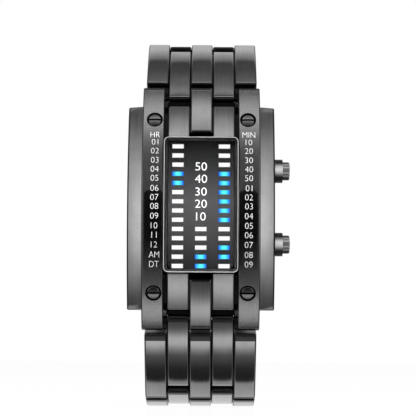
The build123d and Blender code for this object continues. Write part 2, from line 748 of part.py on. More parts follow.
def make_clasp():
    """Folding clasp: cover, middle blade, long blade, two hinge pins and two release buttons."""
    span = clasp_half_arc
    cover_inner = clasp_radius + cover_lift
    cover_outer = cover_inner + cover_thickness
    cover_start = -span + degrees_of(cover_set_off, clasp_radius)
    cover_pin = span - degrees_of(cover_pin_from_end, clasp_radius)
    cover_end = cover_pin + degrees_of(cover_tail, clasp_radius)
    cover_pin_at = clasp_radius + cover_pin_lift
    blade_pin = -span + degrees_of(blade_pin_from_start, clasp_radius)
    blade_pin_at = clasp_radius - blade_pin_lift
    clear = degrees_of(knuckle_radius + knuckle_gap, clasp_radius)
    wall_x = bracelet_width / 2 - cover_wall / 2
    wall_inner = clasp_radius - cover_wall_depth
    button_angle = -span + degrees_of(button_from_start, clasp_radius)
    bore = clasp_pin_radius + pin_clearance

    with BuildPart() as cover:
        with BuildSketch(clasp_plane()):
            rail(cover_inner, cover_outer, cover_start, cover_end)
        extrude(amount=bracelet_width / 2, both=True)
        with BuildSketch(clasp_plane(wall_x), clasp_plane(-wall_x)):
            rail(wall_inner, cover_outer, cover_start, cover_end)
        extrude(amount=cover_wall / 2, both=True)
        with BuildSketch(*[clasp_plane(x) for x in inner_columns]):
            rail(clasp_radius - link_thickness / 2, clasp_radius + link_thickness / 2, -span, cover_start, True)
            rail(cover_inner, clasp_radius + link_thickness / 2, cover_start, blade_pin - clear)
        extrude(amount=column_width / 2, both=True)
        outer_sides = cover.faces().filter_by(Axis.X).group_by(Axis.X)
        long_edges = ShapeList(
            edge
            for side in (outer_sides[0], outer_sides[-1])
            for edge in side.edges().filter_by(GeomType.CIRCLE)
            if edge.radius > cover_inner
        )
        fillet(long_edges, cover_edge)
        with BuildSketch(clasp_plane()):
            notch_start = cover_pin - degrees_of(cover_notch_from_pin, clasp_radius)
            rail(cover_inner - overrun, cover_outer + overrun, notch_start, cover_end + overrun)
        extrude(amount=long_blade_width / 2, both=True, mode=Mode.SUBTRACT)
        rod_hole = ((-span, clasp_radius, pin_radius + pin_clearance), (cover_pin, cover_pin_at, bore))
        for angle, at, radius in rod_hole:
            with BuildSketch(clasp_plane()):
                with Locations(polar(at, angle)):
                    Circle(radius)
            extrude(amount=bracelet_width, both=True, mode=Mode.SUBTRACT)
        with BuildSketch(clasp_plane()):
            with Locations(polar(clasp_radius, button_angle)):
                Circle(button_stem + 2 * pin_clearance)
        extrude(amount=bracelet_width, both=True, mode=Mode.SUBTRACT)
    save(cover.part, "clasp_cover")

    middle_mid = clasp_radius + middle_blade_lift
    middle_in, middle_out = middle_mid - middle_blade_thickness / 2, middle_mid + middle_blade_thickness / 2
    blade_x = middle_blade_width / 2 - middle_knuckle_width / 2
    with BuildPart() as middle:
        with BuildSketch(clasp_plane()):
            rail(middle_in, middle_out, blade_pin + clear, cover_pin)
            with Locations(polar(cover_pin_at, cover_pin)):
                Circle(knuckle_radius)
        extrude(amount=middle_blade_width / 2, both=True)
        with BuildSketch(clasp_plane(blade_x), clasp_plane(-blade_x)):
            rail(middle_in, middle_out, blade_pin, blade_pin + clear)
            with Locations(polar(blade_pin_at, blade_pin)):
                Circle(knuckle_radius)
        extrude(amount=middle_knuckle_width / 2, both=True)
        window_half = degrees_of(middle_window_arc / 2, clasp_radius)
        window_mid = (blade_pin + cover_pin) / 2
        with BuildSketch(clasp_plane()):
            rail(
                middle_in - overrun, middle_out + overrun, window_mid - window_half, window_mid + window_half
            )
        extrude(amount=middle_window_width / 2, both=True, mode=Mode.SUBTRACT)
        for angle, at in ((blade_pin, blade_pin_at), (cover_pin, cover_pin_at)):
            with BuildSketch(clasp_plane()):
                with Locations(polar(at, angle)):
                    Circle(bore)
            extrude(amount=bracelet_width, both=True, mode=Mode.SUBTRACT)
    save(middle.part, "clasp_middle_blade")

    with BuildPart() as hinge_pins:
        rod(clasp_plane(), polar(cover_pin_at, cover_pin), clasp_pin_radius, bracelet_width - pin_end_inset)
        rod(clasp_plane(), polar(blade_pin_at, blade_pin), clasp_pin_radius, middle_blade_width)
    save(hinge_pins.part, "clasp_hinge_pins")

    long_mid = clasp_radius - long_blade_lift
    long_in, long_out = long_mid - long_blade_thickness / 2, long_mid + long_blade_thickness / 2
    centre_width = middle_blade_width - 2 * middle_knuckle_width - 2 * knuckle_gap
    finger_start = cover_pin + clear
    finger_end = span - degrees_of(pin_radius + finger_gap, clasp_radius)
    with BuildPart() as long_blade:
        with BuildSketch(clasp_plane()):
            rail(long_in, long_out, blade_pin + clear, finger_start)
        extrude(amount=long_blade_width / 2, both=True)
        with BuildSketch(*[clasp_plane(x) for x in inner_columns]) as fingers:
            rail(long_in, clasp_radius + link_thickness / 2, finger_start, finger_end)
            round_corner(fingers, polar(clasp_radius + link_thickness / 2, finger_end), outer_corner)
        extrude(amount=column_width / 2, both=True)
        with BuildSketch(clasp_plane()):
            rail(long_in, long_out, blade_pin, blade_pin + clear)
            with Locations(polar(blade_pin_at, blade_pin)):
                Circle(knuckle_radius)
        extrude(amount=centre_width / 2, both=True)
        with BuildSketch(clasp_plane()):
            with Locations(polar(blade_pin_at, blade_pin)):
                Circle(bore)
        extrude(amount=bracelet_width, both=True, mode=Mode.SUBTRACT)
    save(long_blade.part, "clasp_long_blade")

    wall_face = bracelet_width / 2
    for name, side in (("left", -1), ("right", 1)):
        with BuildPart() as button:
            flange_start = wall_face - cover_wall - free_gap - button_flange_length
            rings = (
                (wall_face + button_proud, button_head, button_head_length),
                (flange_start, button_stem, wall_face + button_proud - flange_start),
                (flange_start, button_flange, button_flange_length),
            )
            for x, radius, length in rings:
                with BuildSketch(clasp_plane(side * x)):
                    with Locations(polar(clasp_radius, button_angle)):
                        Circle(radius)
                extrude(amount=side * length)
        save(button.part, f"clasp_{name}_button")


def main():
    os.makedirs("parts", exist_ok=True)
    make_case_body()
    make_bezel_bar(-1, "left_bezel_bar")
    make_bezel_bar(1, "right_bezel_bar")
    make_bezel_screws()
    make_centre_lugs()
    make_case_pins()
    make_crystal()
    make_display()
    make_module()
    make_case_back()
    make_pushers()
    for number in range(1, len(upper_headings) + 1):
        make_link("upper", number, 1, upper_pins, upper_headings)
    for number in range(1, len(lower_headings) + 1):
        make_link("lower", number, -1, lower_pins, lower_headings)
    make_clasp()
    print("upper pins", [tuple(round(v, 4) for v in p) for p in upper_pins])
    print("lower pins", [tuple(round(v, 4) for v in p) for p in lower_pins])
    print("clasp chord", round(clasp_chord, 3), "half arc", round(clasp_half_arc, 3))


main()
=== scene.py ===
"""Dresses the binary wristwatch: finishes, printing, display glow, studio stage and camera."""

import json
import math

import bmesh
import bpy
import numpy as np
from bpy.props import FloatProperty, FloatVectorProperty, PointerProperty
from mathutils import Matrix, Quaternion, Vector


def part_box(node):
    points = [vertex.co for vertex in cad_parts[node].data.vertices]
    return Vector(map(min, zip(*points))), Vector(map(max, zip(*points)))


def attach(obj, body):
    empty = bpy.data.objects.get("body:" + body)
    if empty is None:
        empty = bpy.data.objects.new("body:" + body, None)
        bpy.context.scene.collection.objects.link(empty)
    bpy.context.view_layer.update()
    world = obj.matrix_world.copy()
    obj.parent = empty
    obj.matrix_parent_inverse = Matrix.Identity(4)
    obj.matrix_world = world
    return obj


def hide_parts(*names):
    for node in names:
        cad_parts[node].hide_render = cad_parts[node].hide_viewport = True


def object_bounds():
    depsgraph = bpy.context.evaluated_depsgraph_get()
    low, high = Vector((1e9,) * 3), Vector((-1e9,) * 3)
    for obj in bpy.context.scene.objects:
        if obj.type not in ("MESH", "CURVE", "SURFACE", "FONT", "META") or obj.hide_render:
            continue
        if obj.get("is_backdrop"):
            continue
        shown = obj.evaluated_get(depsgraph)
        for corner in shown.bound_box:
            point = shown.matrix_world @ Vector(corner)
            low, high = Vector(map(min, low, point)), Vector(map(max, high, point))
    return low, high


bl_info = {
    "name": "Binary Wristwatch Dressing",
    "version": (1, 0, 0),
    "blender": (4, 5, 0),
    "location": "3D View > Sidebar > Watch",
    "description": "Adds finishes, printing and a studio stage to the packed wristwatch",
    "category": "Object",
}

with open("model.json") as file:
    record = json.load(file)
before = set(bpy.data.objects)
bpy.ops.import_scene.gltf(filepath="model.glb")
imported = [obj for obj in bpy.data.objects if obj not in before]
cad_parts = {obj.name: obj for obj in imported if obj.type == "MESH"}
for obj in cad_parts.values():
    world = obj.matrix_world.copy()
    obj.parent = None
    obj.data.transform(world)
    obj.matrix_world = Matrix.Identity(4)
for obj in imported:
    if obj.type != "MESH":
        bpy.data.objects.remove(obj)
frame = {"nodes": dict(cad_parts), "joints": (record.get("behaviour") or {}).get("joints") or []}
CAD_LOW, CAD_HIGH = (tuple(corner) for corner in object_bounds())
MM = 0.001

# Case, in millimetres, as in the CAD
HALF_CASE = 22.5
FRONT_DROP = 4.91
FRONT_RADIUS = (HALF_CASE**2 + FRONT_DROP**2) / (2 * FRONT_DROP)
FRONT_Y = -11.0
FRONT_CENTRE = FRONT_RADIUS + FRONT_Y
BAR_THICKNESS = 3.4
BAR_INNER_RADIUS = FRONT_RADIUS - BAR_THICKNESS
PIN_HEIGHT = 25.2
LUG_ANGLE = math.asin(PIN_HEIGHT / (FRONT_RADIUS - BAR_THICKNESS / 2))
LUG_START = 15.9
CASE_REAR = -1.2
CORE_REAR = -3.0
BODY_END = 22.5
WINDOW_LENGTH = 29.4
WINDOW_CORNER = 1.1
WINDOW_END = WINDOW_LENGTH / 2 - 0.04

# Lips behind the end blocks and sleeves on the end pins, dark with painted shade to fill the gaps there
LIP_RADIUS = 1.95
LIP_TURN = (150.0, 235.0)
LIP_STEPS = 12
LIP_OVERLAP = 0.1
SLEEVE_RADIUS = 1.5

# Screws on the bars: a dome over a plain shank, and a slot
SCREW_HEIGHT = 19.0
SCREW_HEAD = 1.42
SCREW_RIM = 0.2
SCREW_TOP = 0.02
SCREW_FALL = 0.1
SCREW_FOOT = -1.15
SCREW_HOLE = 1.78
SLOT_HALF_WIDTH = 0.22
SLOT_HALF_LENGTH = 2.0
SLOT_DEPTH = 0.5
AXIS_RADIUS = 0.02


def reach(name, axis):
    """Lowest and highest place of a CAD node along an axis, in millimetres."""
    low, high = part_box(name)
    return low[axis] / MM, high[axis] / MM


CASE_SIDE = reach("case_body", 0)[1]
BAR_INSIDE, BAR_OUTSIDE = reach("right_bezel_bar", 0)
SCALE_CENTRE = (BAR_INSIDE + BAR_OUTSIDE) / 2 - 0.3
SCALE_SHIFT = 0.15
WINDOW_WIDTH = 2 * BAR_INSIDE - 0.1
DISPLAY_FRONT = reach("display_plate", 1)[0]
LIGHT_LEFT, LIGHT_RIGHT = reach("lit_light_bars", 0)
LIGHT_SPACING = 5.03
LIGHT_HALF_WIDTH = (LIGHT_RIGHT - LIGHT_LEFT) / 2 - LIGHT_SPACING
LIGHT_PITCH = 2.0
LIGHT_HALF_HEIGHT = 0.5
LIGHT_FIRST = reach("unlit_light_bars", 2)[0] + LIGHT_HALF_HEIGHT
LIGHT_FADE = 0.12
DISPLAY_HALF_LENGTH = 14.5

# Bracelet, in millimetres, as in the CAD
BRACELET_WIDTH = 2 * reach("upper_link_1_outer", 0)[1]
COLUMN_PITCH = (BRACELET_WIDTH + 0.26) / 5
COLUMN_WIDTH = COLUMN_PITCH - 0.05
OUTER_COLUMNS = (-2, 0, 2)
INNER_COLUMNS = (-1, 1)
LINK_HALF_ARC = math.radians(12.0)
LINK_PITCH = 17.5
LINK_RADIUS = LINK_PITCH / 2 / math.sin(LINK_HALF_ARC)
LINK_HALF_THICKNESS = 1.7
INNER_STEP_DOWN = 0.5
LINK_SET_OFF = 2.15 / LINK_RADIUS
LAST_HEADINGS = {"upper": 147.0, "lower": 142.0}

# Which faces of a rail get painted shade: slope of its ends, slope of its rims, and length of a lower link's
# start
END_LIMIT = 0.2
RIM_LIMITS = (0.5, 0.95)
LOWER_LEAD = 1.5

# Roundings: rims of the rails and bars, and (outer, inner) corners of each side view
LINK_EDGE = 0.4
BAR_EDGE = 0.3
OUTER_CORNERS = (0.35, 0.4)
INNER_CORNERS = (0.5, 1.3)
BLOCK_CORNERS = (0.4, 0.3)
CORE_CORNERS = (0.5, 0.3)
REAR_CORNERS = (0.3, 0.3)
STRIP_CORNERS = (0.1, 0.1)
PLATE_CORNERS = (0.25, 0.3)
SMOOTH_LIMIT = math.radians(38)

# The four stepped blocks beside the lugs slope more steeply than the bars
BLOCK_RADIUS = 76.0
BLOCK_SHIFT = 15.0
BLOCK_FRONT = -14.78
FLAT_RADIUS = 3000.0

# Case side plates: how far their face falls towards the outside
PLATE_RADIUS = 60.0
PLATE_FRONT = -8.3
PLATE_FALL = 1.25
PLATE_EDGE = 0.35

# The window's wall and its lining, dark with painted shade except the wall's front: (distance inwards, y)
RIM_SECTION = (
    (0.0, -4.2), (0.0, -11.05), (0.03, -11.16), (0.07, -11.2), (0.12, -11.2), (0.16, -11.16),
    (0.18, -11.1), (0.18, -9.75), (0.8, -9.75), (0.8, -4.2),
)
LINER_SECTION = ((0.18, -11.1), (0.3, -11.1), (0.3, -9.78), (0.85, -9.78), (0.85, -9.7), (0.18, -9.7))
GLASS_INSET = 0.31
GLASS_CORNER = 0.8
GLASS_BEVEL = 0.06
GLASS_FRONT_SHARE = 1.0 - 0.004

# Steps round the new surfaces
ARC_STEPS = 40
ROUND_STEPS = 21
CORNER_STEPS = 6
EDGE_STEPS = 5
TURN_STEPS = 48
DOME_STEPS = 8

# A painted reflection of a dark card: the black panel under the lower half of each printed scale
REFLECTION_TOP = 3.0
REFLECTION_HALF_WIDTH = 2.05
REFLECTION_CORNER = 0.9
REFLECTION_BLUR = 0.08
REFLECTION_FADE = (-14.5, -7.0)
REFLECTION_BLACK = (0.07, 0.07, 0.071, 1.0)

# Stretch of the grain: fine streaks along the bracelet, turned streaks, or even spots
BRUSHED = (1800.0, 30.0, 30.0)
TURNED = (1.0, 400.0, 400.0)
EVEN = (1.0, 1.0, 1.0)

MOULDED = ("light_guide_frame", "processor_chip", "battery_tray")
# Plain finishes: (name, colour, roughness, metallic, coat, CAD nodes)
PLAIN_FINISHES = (
    ("polished_black_plating", (0.05, 0.05, 0.052), 0.18, 1.0, 0.0, ("bezel_screws",)),
    ("screw_head_plating", (0.26, 0.26, 0.265), 0.2, 1.0, 0.0, ()),
    # Window rim front: plating, with a painted highlight in its light grey
    ("window_rim_plating_and_highlight", (0.6, 0.6, 0.605), 0.4, 0.2, 0.0, ()),
    ("rail_ends_painted_shade", (0.09, 0.09, 0.092), 0.3, 1.0, 0.0, ()),
    # Painted shade: the dark of recesses, gaps, holes, linings and the case's core
    ("recess_painted_shade", (0.035, 0.035, 0.036), 0.4, 1.0, 0.0, ()),
    ("seal_rubber", (0.02, 0.02, 0.02), 0.75, 0.0, 0.0, ("crystal_gasket", "case_back_seal", "pusher_seals")),
    ("black_moulding", (0.025, 0.025, 0.027), 0.5, 0.0, 0.0, MOULDED),
    ("green_board", (0.02, 0.12, 0.05), 0.4, 0.0, 0.3, ("lamp_board",)),
    ("lamp_resin", (0.85, 0.78, 0.45), 0.25, 0.0, 0.0, ("lamp_chips",)),
    ("cell_nickel", (0.7, 0.7, 0.71), 0.2, 1.0, 0.0, ("coin_cell",)),
    ("contact_brass", (0.72, 0.52, 0.2), 0.3, 1.0, 0.0, ("button_contacts",)),
)
# Side plates: the grey plating made lighter, as painted light
FLANK_PAINTED_LIGHT = 1.42
# Pins sit in the gaps between parts, so their steel is darkened as painted shade
PIN_PAINTED_SHADE = (0.12, 0.12, 0.122)
# Painted highlights and shade of the turned buttons: (how far a face looks up or down, grey)
COLLAR_PAINTED_LIGHT = ((0.0, 0.52), (0.25, 0.36), (0.45, 0.1), (0.6, 0.01))
CAP_PAINTED_LIGHT = ((0.0, 0.12), (0.15, 0.06), (0.3, 0.3), (0.45, 0.06), (0.62, 0.2), (0.8, 0.01))

# Soft boxes and dark cards round the watch: (height angle in degrees, brightness)
STUDIO_BANDS = (
    (-180, 0.8), (-140, 0.95), (-100, 1.0), (-86, 0.75), (-77, 0.55), (-76, 0.02), (-66, 0.05),
    (-57, 0.18), (-53, 0.55), (-50, 1.0), (-46, 1.0), (-43, 0.5), (-40, 0.2), (-34, 0.1),
    (-25, 0.035), (-12, 0.012), (8, 0.012), (16, 0.08), (33, 0.11), (41, 0.3), (48, 0.8),
    (56, 1.0), (61, 0.7), (67, 0.13), (72, 0.13), (76, 0.5), (82, 0.3), (94, 0.14),
    (105, 0.1), (106, 0.3), (119, 1.0), (180, 0.8),
)
# Cards at the two sides: (upward part of the direction, brightness)
SIDE_BANDS = (
    (-1.0, 0.5), (-0.72, 0.3), (-0.62, 0.06), (-0.5, 0.07), (-0.45, 0.15), (-0.34, 0.41),
    (-0.22, 0.69), (-0.1, 0.94), (0.0, 1.0), (0.13, 0.92), (0.25, 0.78), (0.37, 0.61),
    (0.48, 0.41), (0.55, 0.29), (0.6, 0.18), (0.65, 0.08), (1.0, 0.5),
)
SIDE_START = (0.3, 0.6)
# How much of the side cards is left far out: (sideways part of the direction, share)
SIDE_SHADE = ((0.75, 1.0), (0.88, 0.08), (0.94, 0.1), (1.0, 0.35))

FLOOR_REACH = 3.0
LAMP_SCALE = 6

HOUR_LABELS = ("HR", "01", "02", "03", "04", "05", "06", "07", "08", "09", "10", "11", "12", "AM", "DT")
MINUTE_LABELS = ("MIN", "10", "20", "30", "40", "50", "01", "02", "03", "04", "05", "06", "07", "08", "09")
LABEL_HEIGHTS = (
    15.7, 13.96, 11.9, 9.78, 7.74, 5.75, 3.53, 1.53, -0.41, -2.52, -4.6, -6.62, -8.72, -10.88, -12.97,
)
CENTRE_NUMBERS = ("50", "40", "30", "20", "10")
CENTRE_HEIGHTS = (8.35, 5.66, 2.87, 0.22, -2.54)

# Lettering: boldness, and widths of a word, a label and a centre number against the plain font
LABEL_BOLDNESS = -0.022
CENTRE_BOLDNESS = -0.004
WORD_SQUEEZE = 0.84
LABEL_SQUEEZE = 0.98
CENTRE_SQUEEZE = 1.07


class StageSettings(bpy.types.PropertyGroup):
    """Camera, floor and lamps."""

    distance: FloatProperty(name="Distance", description="Camera to case", default=0.310, unit="LENGTH")
    elevation: FloatProperty(
        name="Elevation", description="Camera height angle", default=math.radians(-5.97), subtype="ANGLE"
    )
    lens: FloatProperty(name="Lens", description="Focal length in millimetres", default=123.35)
    target: FloatVectorProperty(
        name="Target", description="Point that the camera looks at", default=(0.00153, -0.008, -0.00049)
    )
    roll: FloatProperty(
        name="Roll", description="Camera turned about its view", default=math.radians(0.3), subtype="ANGLE"
    )
    backdrop: FloatProperty(name="Backdrop", description="Brightness behind the watch", default=1.0)
    floor_grey: FloatProperty(name="Floor", description="Brightness of the floor", default=0.86)
    floor_white: FloatProperty(
        name="Floor white", description="How far the floor is seen as white", default=0.94, subtype="FACTOR"
    )
    key_watts: FloatProperty(
        name="Key lamp", description="Power of the lamp above", default=0.9, unit="POWER"
    )
    side_watts: FloatProperty(
        name="Side lamps", description="Power of each side lamp", default=0.35, unit="POWER"
    )


class FinishSettings(bpy.types.PropertyGroup):
    """Colours of the metals and of the display."""

    dark_metal: FloatVectorProperty(
        name="Dark plating", description="Bracelet and bars", default=(0.41, 0.41, 0.415), subtype="COLOR"
    )
    bright_metal: FloatVectorProperty(
        name="Grey plating", description="Case and blocks", default=(0.43, 0.43, 0.435), subtype="COLOR"
    )
    plain_metal: FloatVectorProperty(
        name="Plain steel", description="Pins and screws", default=(0.48, 0.48, 0.49), subtype="COLOR"
    )
    panel: FloatVectorProperty(
        name="Display panel", description="Behind the bars", default=(0.066, 0.066, 0.068), subtype="COLOR"
    )
    glow_white: FloatVectorProperty(
        name="White bars", description="Unlit light bars", default=(1.0, 1.0, 1.0), subtype="COLOR"
    )
    glow_blue: FloatVectorProperty(
        name="Blue bars", description="Edge colour of lit bars", default=(0.0, 0.14, 1.0), subtype="COLOR"
    )
    glow_cyan: FloatVectorProperty(
        name="Cyan centre", description="Middle of lit bars", default=(0.10, 0.92, 1.0), subtype="COLOR"
    )


class PrintSettings(bpy.types.PropertyGroup):
    """Size of the printed scales."""

    label_height: FloatProperty(
        name="Label height", description="Height of a digit", default=0.00128, unit="LENGTH"
    )
    number_height: FloatProperty(
        name="Number height", description="Height of a centre number", default=0.00178, unit="LENGTH"
    )
    ink: FloatProperty(name="Ink", description="Thickness of the print", default=0.00002, unit="LENGTH")


class Wiring:
    """A node tree, with short calls for the nodes that the finishes and the studio share."""

    def __init__(self, tree):
        self.nodes, self.links = tree.nodes, tree.links

    def first(self, kind):
        """The node of a kind that a new tree already holds."""
        return next(node for node in self.nodes if node.type == kind)

    def fill(self, node, inputs):
        """Sets a node's inputs: a socket is linked, and any other value is written in."""
        for name, value in inputs.items():
            if isinstance(value, bpy.types.NodeSocket):
                self.links.new(value, node.inputs[name])
            else:
                node.inputs[name].default_value = value

    def add(self, kind, inputs, output=0, **settings):
        """An output of a new node with its settings and inputs."""
        node = self.nodes.new(kind)
        for name, value in settings.items():
            setattr(node, name, value)
        self.fill(node, inputs)
        return node.outputs[output]

    def noise(self, stretch, scale, detail, rough=0.55):
        """A noise texture's factor over object coordinates stretched along each axis."""
        place = self.add("ShaderNodeTexCoord", {}, "Object")
        vector = self.add("ShaderNodeMapping", {"Vector": place, "Scale": stretch})
        inputs = {"Vector": vector, "Scale": scale, "Detail": detail, "Roughness": rough}
        return self.add("ShaderNodeTexNoise", inputs, "Fac")

    def ramp(self, factor, stops):
        """A colour ramp over a factor; stops are (position, grey or colour)."""
        band = self.nodes.new("ShaderNodeValToRGB")
        elements = band.color_ramp.elements
        while len(elements) < len(stops):
            elements.new(0.5)
        for element, (position, colour) in zip(elements, stops):
            element.position = position
            element.color = (*(colour if isinstance(colour, tuple) else (colour,) * 3), 1.0)
        self.fill(band, {"Fac": factor})
        return band.outputs["Color"]

    def grade(self, factor, low, high, edge=0.3):
        """A ramp from low to high over the middle of a factor."""
        return self.ramp(factor, ((edge, low), (1.0 - edge, high)))

    def bump(self, shader, height, strength, distance):
        """Drives the shader's normal from a height."""
        inputs = {"Height": height, "Strength": strength, "Distance": distance}
        self.fill(shader, {"Normal": self.add("ShaderNodeBump", inputs, "Normal")})

    def mix(self, share, first, second, blend="MIX"):
        """Two colours mixed, the second by a share."""
        inputs = {0: share, 6: first, 7: second}
        return self.add("ShaderNodeMix", inputs, 2, data_type="RGBA", blend_type=blend)

    def multiply(self, first, second):
        """Two colours multiplied."""
        return self.mix(1.0, first, second, "MULTIPLY")

    def combine(self, operation, first, second=0.0, clamp=False):
        """A Math node between two sockets or numbers."""
        return self.add("ShaderNodeMath", {0: first, 1: second}, operation=operation, use_clamp=clamp)

    def spread(self, value, low, high, **settings):
        """How far a value lies between two others, from 0 to 1."""
        inputs = {"Value": value, "From Min": low, "From Max": high}
        return self.add("ShaderNodeMapRange", inputs, "Result", **settings)

    def split(self, kind, output):
        """The X, Y and Z parts of a node's vector output."""
        node = self.nodes.new("ShaderNodeSeparateXYZ")
        self.fill(node, {"Vector": self.add(kind, {}, output)})
        return node.outputs

    def show(self, share, first, second):
        """Shows a mix of two shaders as the material's surface."""
        blend = self.add("ShaderNodeMixShader", {0: share, 1: first, 2: second})
        self.fill(self.first("OUTPUT_MATERIAL"), {"Surface": blend})


def new_material(name):
    """A material, the wiring of its nodes and its Principled shader."""
    material = bpy.data.materials.new(name)
    material.use_nodes = True
    tree = Wiring(material.node_tree)
    return material, tree, tree.first("BSDF_PRINCIPLED")


def shaded(colour, share):
    """A colour made darker or lighter."""
    return tuple(share * c for c in colour)


def varied(colour, share):
    """A colour made darker and lighter by the same share, up to full brightness."""
    return shaded(colour, 1.0 - share), tuple(min(1.0, c * (1.0 + share)) for c in colour)


def brushed_metal(name, colour, roughness, streak):
    """Plated steel brushed along the bracelet: fine streaks that are narrow in X and long in Y and Z."""
    material, tree, shader = new_material(name)
    streaks = tree.noise(BRUSHED, 3.0, 6.0, 0.6)
    tone = tree.grade(streaks, *varied(colour, streak))
    wear = tree.grade(tree.noise(EVEN, 260.0, 3.0), 0.86, 1.0)
    polish = tree.grade(streaks, roughness * 0.85, roughness * 1.2)
    tree.fill(shader, {"Base Color": tree.multiply(tone, wear), "Roughness": polish, "Metallic": 1.0})
    tree.bump(shader, streaks, 0.25, 0.00002)
    return material


def plain_finish(name, colour, roughness, metallic=0.0, speckle=0.06, coat=0.0):
    """Moulded or machined surface with a fine speckle in colour and height."""
    material, tree, shader = new_material(name)
    spots = tree.noise(EVEN, 1500.0, 3.0)
    tone = tree.grade(spots, *varied(colour, speckle), edge=0.35)
    inputs = {"Base Color": tone, "Roughness": roughness, "Metallic": metallic, "Coat Weight": coat}
    tree.fill(shader, inputs)
    tree.bump(shader, spots, 0.15, 0.00001)
    return material


def make_bar_finish(colour):
    """Bezel bars: speckled plating with a painted reflection of a dark card, a glossy black panel that fades
    out at its foot.

    The panel's top corners are round: sqrt(over^2 + rise^2) < corner, where over and rise are how far
    a point lies past the middle of the corner's circle, and nothing if it doesn't.
    """
    material, tree, shader = new_material("bezel_bar_plating_and_reflection")
    speck = tree.noise(EVEN, 5200.0, 2.0)
    grain = tree.grade(speck, shaded(colour, 0.75), colour, edge=0.35)
    place = tree.split("ShaderNodeTexCoord", "Object")
    corner = REFLECTION_CORNER * MM
    across = tree.combine("SUBTRACT", tree.combine("ABSOLUTE", place["X"]), SCALE_CENTRE * MM)
    over = tree.combine("SUBTRACT", tree.combine("ABSOLUTE", across), REFLECTION_HALF_WIDTH * MM - corner)
    rise = tree.combine("SUBTRACT", place["Z"], REFLECTION_TOP * MM - corner)
    past = [tree.combine("MAXIMUM", value) for value in (over, rise)]
    squares = tree.combine("ADD", *(tree.combine("MULTIPLY", value, value) for value in past))
    outside = tree.combine("SUBTRACT", tree.combine("SQRT", squares), corner)
    inside = tree.spread(outside, REFLECTION_BLUR * MM, -REFLECTION_BLUR * MM)
    fade = tree.spread(place["Z"], REFLECTION_FADE[0] * MM, REFLECTION_FADE[1] * MM)
    # panel is the share of the painted reflection at each point
    panel = tree.combine("MULTIPLY", inside, fade)
    polish = tree.ramp(panel, ((0.0, 0.2), (1.0, 0.1)))
    tone = tree.mix(panel, grain, REFLECTION_BLACK)
    tree.fill(shader, {"Base Color": tone, "Roughness": polish, "Metallic": 0.965})
    tree.bump(shader, speck, 0.2, 0.00002)
    return material


def make_panel_finish(colour):
    """Display panel: dark satin with painted shade, darkest at its two ends and lighter towards its middle.
    """
    material, tree, shader = new_material("display_panel_satin_painted_shade")
    height = tree.split("ShaderNodeTexCoord", "Object")["Z"]
    along = tree.spread(height, -DISPLAY_HALF_LENGTH * MM, DISPLAY_HALF_LENGTH * MM)
    stops = ((0.0, 0.12), (0.3, 0.68), (0.52, 1.0), (0.8, 0.3), (1.0, 0.06))
    shade = tree.ramp(along, tuple((position, shaded(colour, share)) for position, share in stops))
    grain = tree.grade(tree.noise(EVEN, 4000.0, 2.0), 0.85, 1.0)
    inputs = {"Base Color": tree.multiply(shade, grain), "Roughness": 0.5, "Specular IOR Level": 0.1}
    tree.fill(shader, inputs)
    return material


def nearest_distance(tree, value, first, pitch):
    """Distance |v - n| from a value to the nearest n of a row of places, in metres."""
    steps = tree.combine("DIVIDE", tree.combine("SUBTRACT", value, first * MM), pitch * MM)
    apart = tree.combine("SUBTRACT", steps, tree.combine("ROUND", steps))
    return tree.combine("MULTIPLY", tree.combine("ABSOLUTE", apart), pitch * MM)


def light_up(tree, shader, place, tone, body):
    """Light bars that glow in a tone, full in the middle of each bar and fading over a narrow border.

    The bar's own colour is the tone times body. On the unlit white bars this glow is painted; the lit blue
    bars really shine.
    """
    shares = []
    for axis, first, pitch, half in (
        ("X", 0.0, LIGHT_SPACING, LIGHT_HALF_WIDTH),
        ("Z", LIGHT_FIRST, LIGHT_PITCH, LIGHT_HALF_HEIGHT),
    ):
        left = tree.combine("SUBTRACT", half * MM, nearest_distance(tree, place[axis], first, pitch))
        shares.append(tree.combine("DIVIDE", left, LIGHT_FADE * MM, clamp=True))
    tree.fill(shader, {
        "Base Color": tree.multiply(tone, (body, body, body, 1.0)),
        "Emission Color": tone,
        "Emission Strength": tree.combine("MINIMUM", *shares),
        "Roughness": 0.3,
    })


def make_white_glow(colour):
    """Unlit light bars: a milky white window whose brightness is a painted glow."""
    material, tree, shader = new_material("white_bar_painted_glow")
    tone = tree.grade(tree.noise(EVEN, 900.0, 2.0), shaded(colour, 0.93), colour)
    light_up(tree, shader, tree.split("ShaderNodeTexCoord", "Object"), tone, 0.1)
    return material


def make_blue_glow(edge, middle):
    """Lit light bars: cyan in the middle of each bar and deep blue at its two ends."""
    material, tree, shader = new_material("blue_light_bar")
    place = tree.split("ShaderNodeTexCoord", "Object")
    apart = nearest_distance(tree, place["X"], 0.0, LIGHT_SPACING)
    share = tree.combine("DIVIDE", apart, LIGHT_SPACING * MM)
    between = tuple((a + b) / 2 for a, b in zip(edge, middle))
    tone = tree.ramp(share, ((0.06, middle), (0.14, between), (0.22, edge)))
    light_up(tree, shader, place, tone, 0.12)
    return material


def make_button_finish(name, stops):
    """Turned buttons: satin with painted highlights and shade, whose tone depends on how far a face looks up
    or down, |n . z|.
    """
    material, tree, shader = new_material(name)
    facing = tree.split("ShaderNodeNewGeometry", "Normal")
    tone = tree.ramp(tree.combine("ABSOLUTE", facing["Z"]), stops)
    shade = tree.grade(tree.noise(TURNED, 4.0, 3.0), 0.75, 1.0)
    inputs = {"Base Color": tree.multiply(tone, shade), "Roughness": 0.4, "Specular IOR Level": 0.1}
    tree.fill(shader, inputs)
    return material


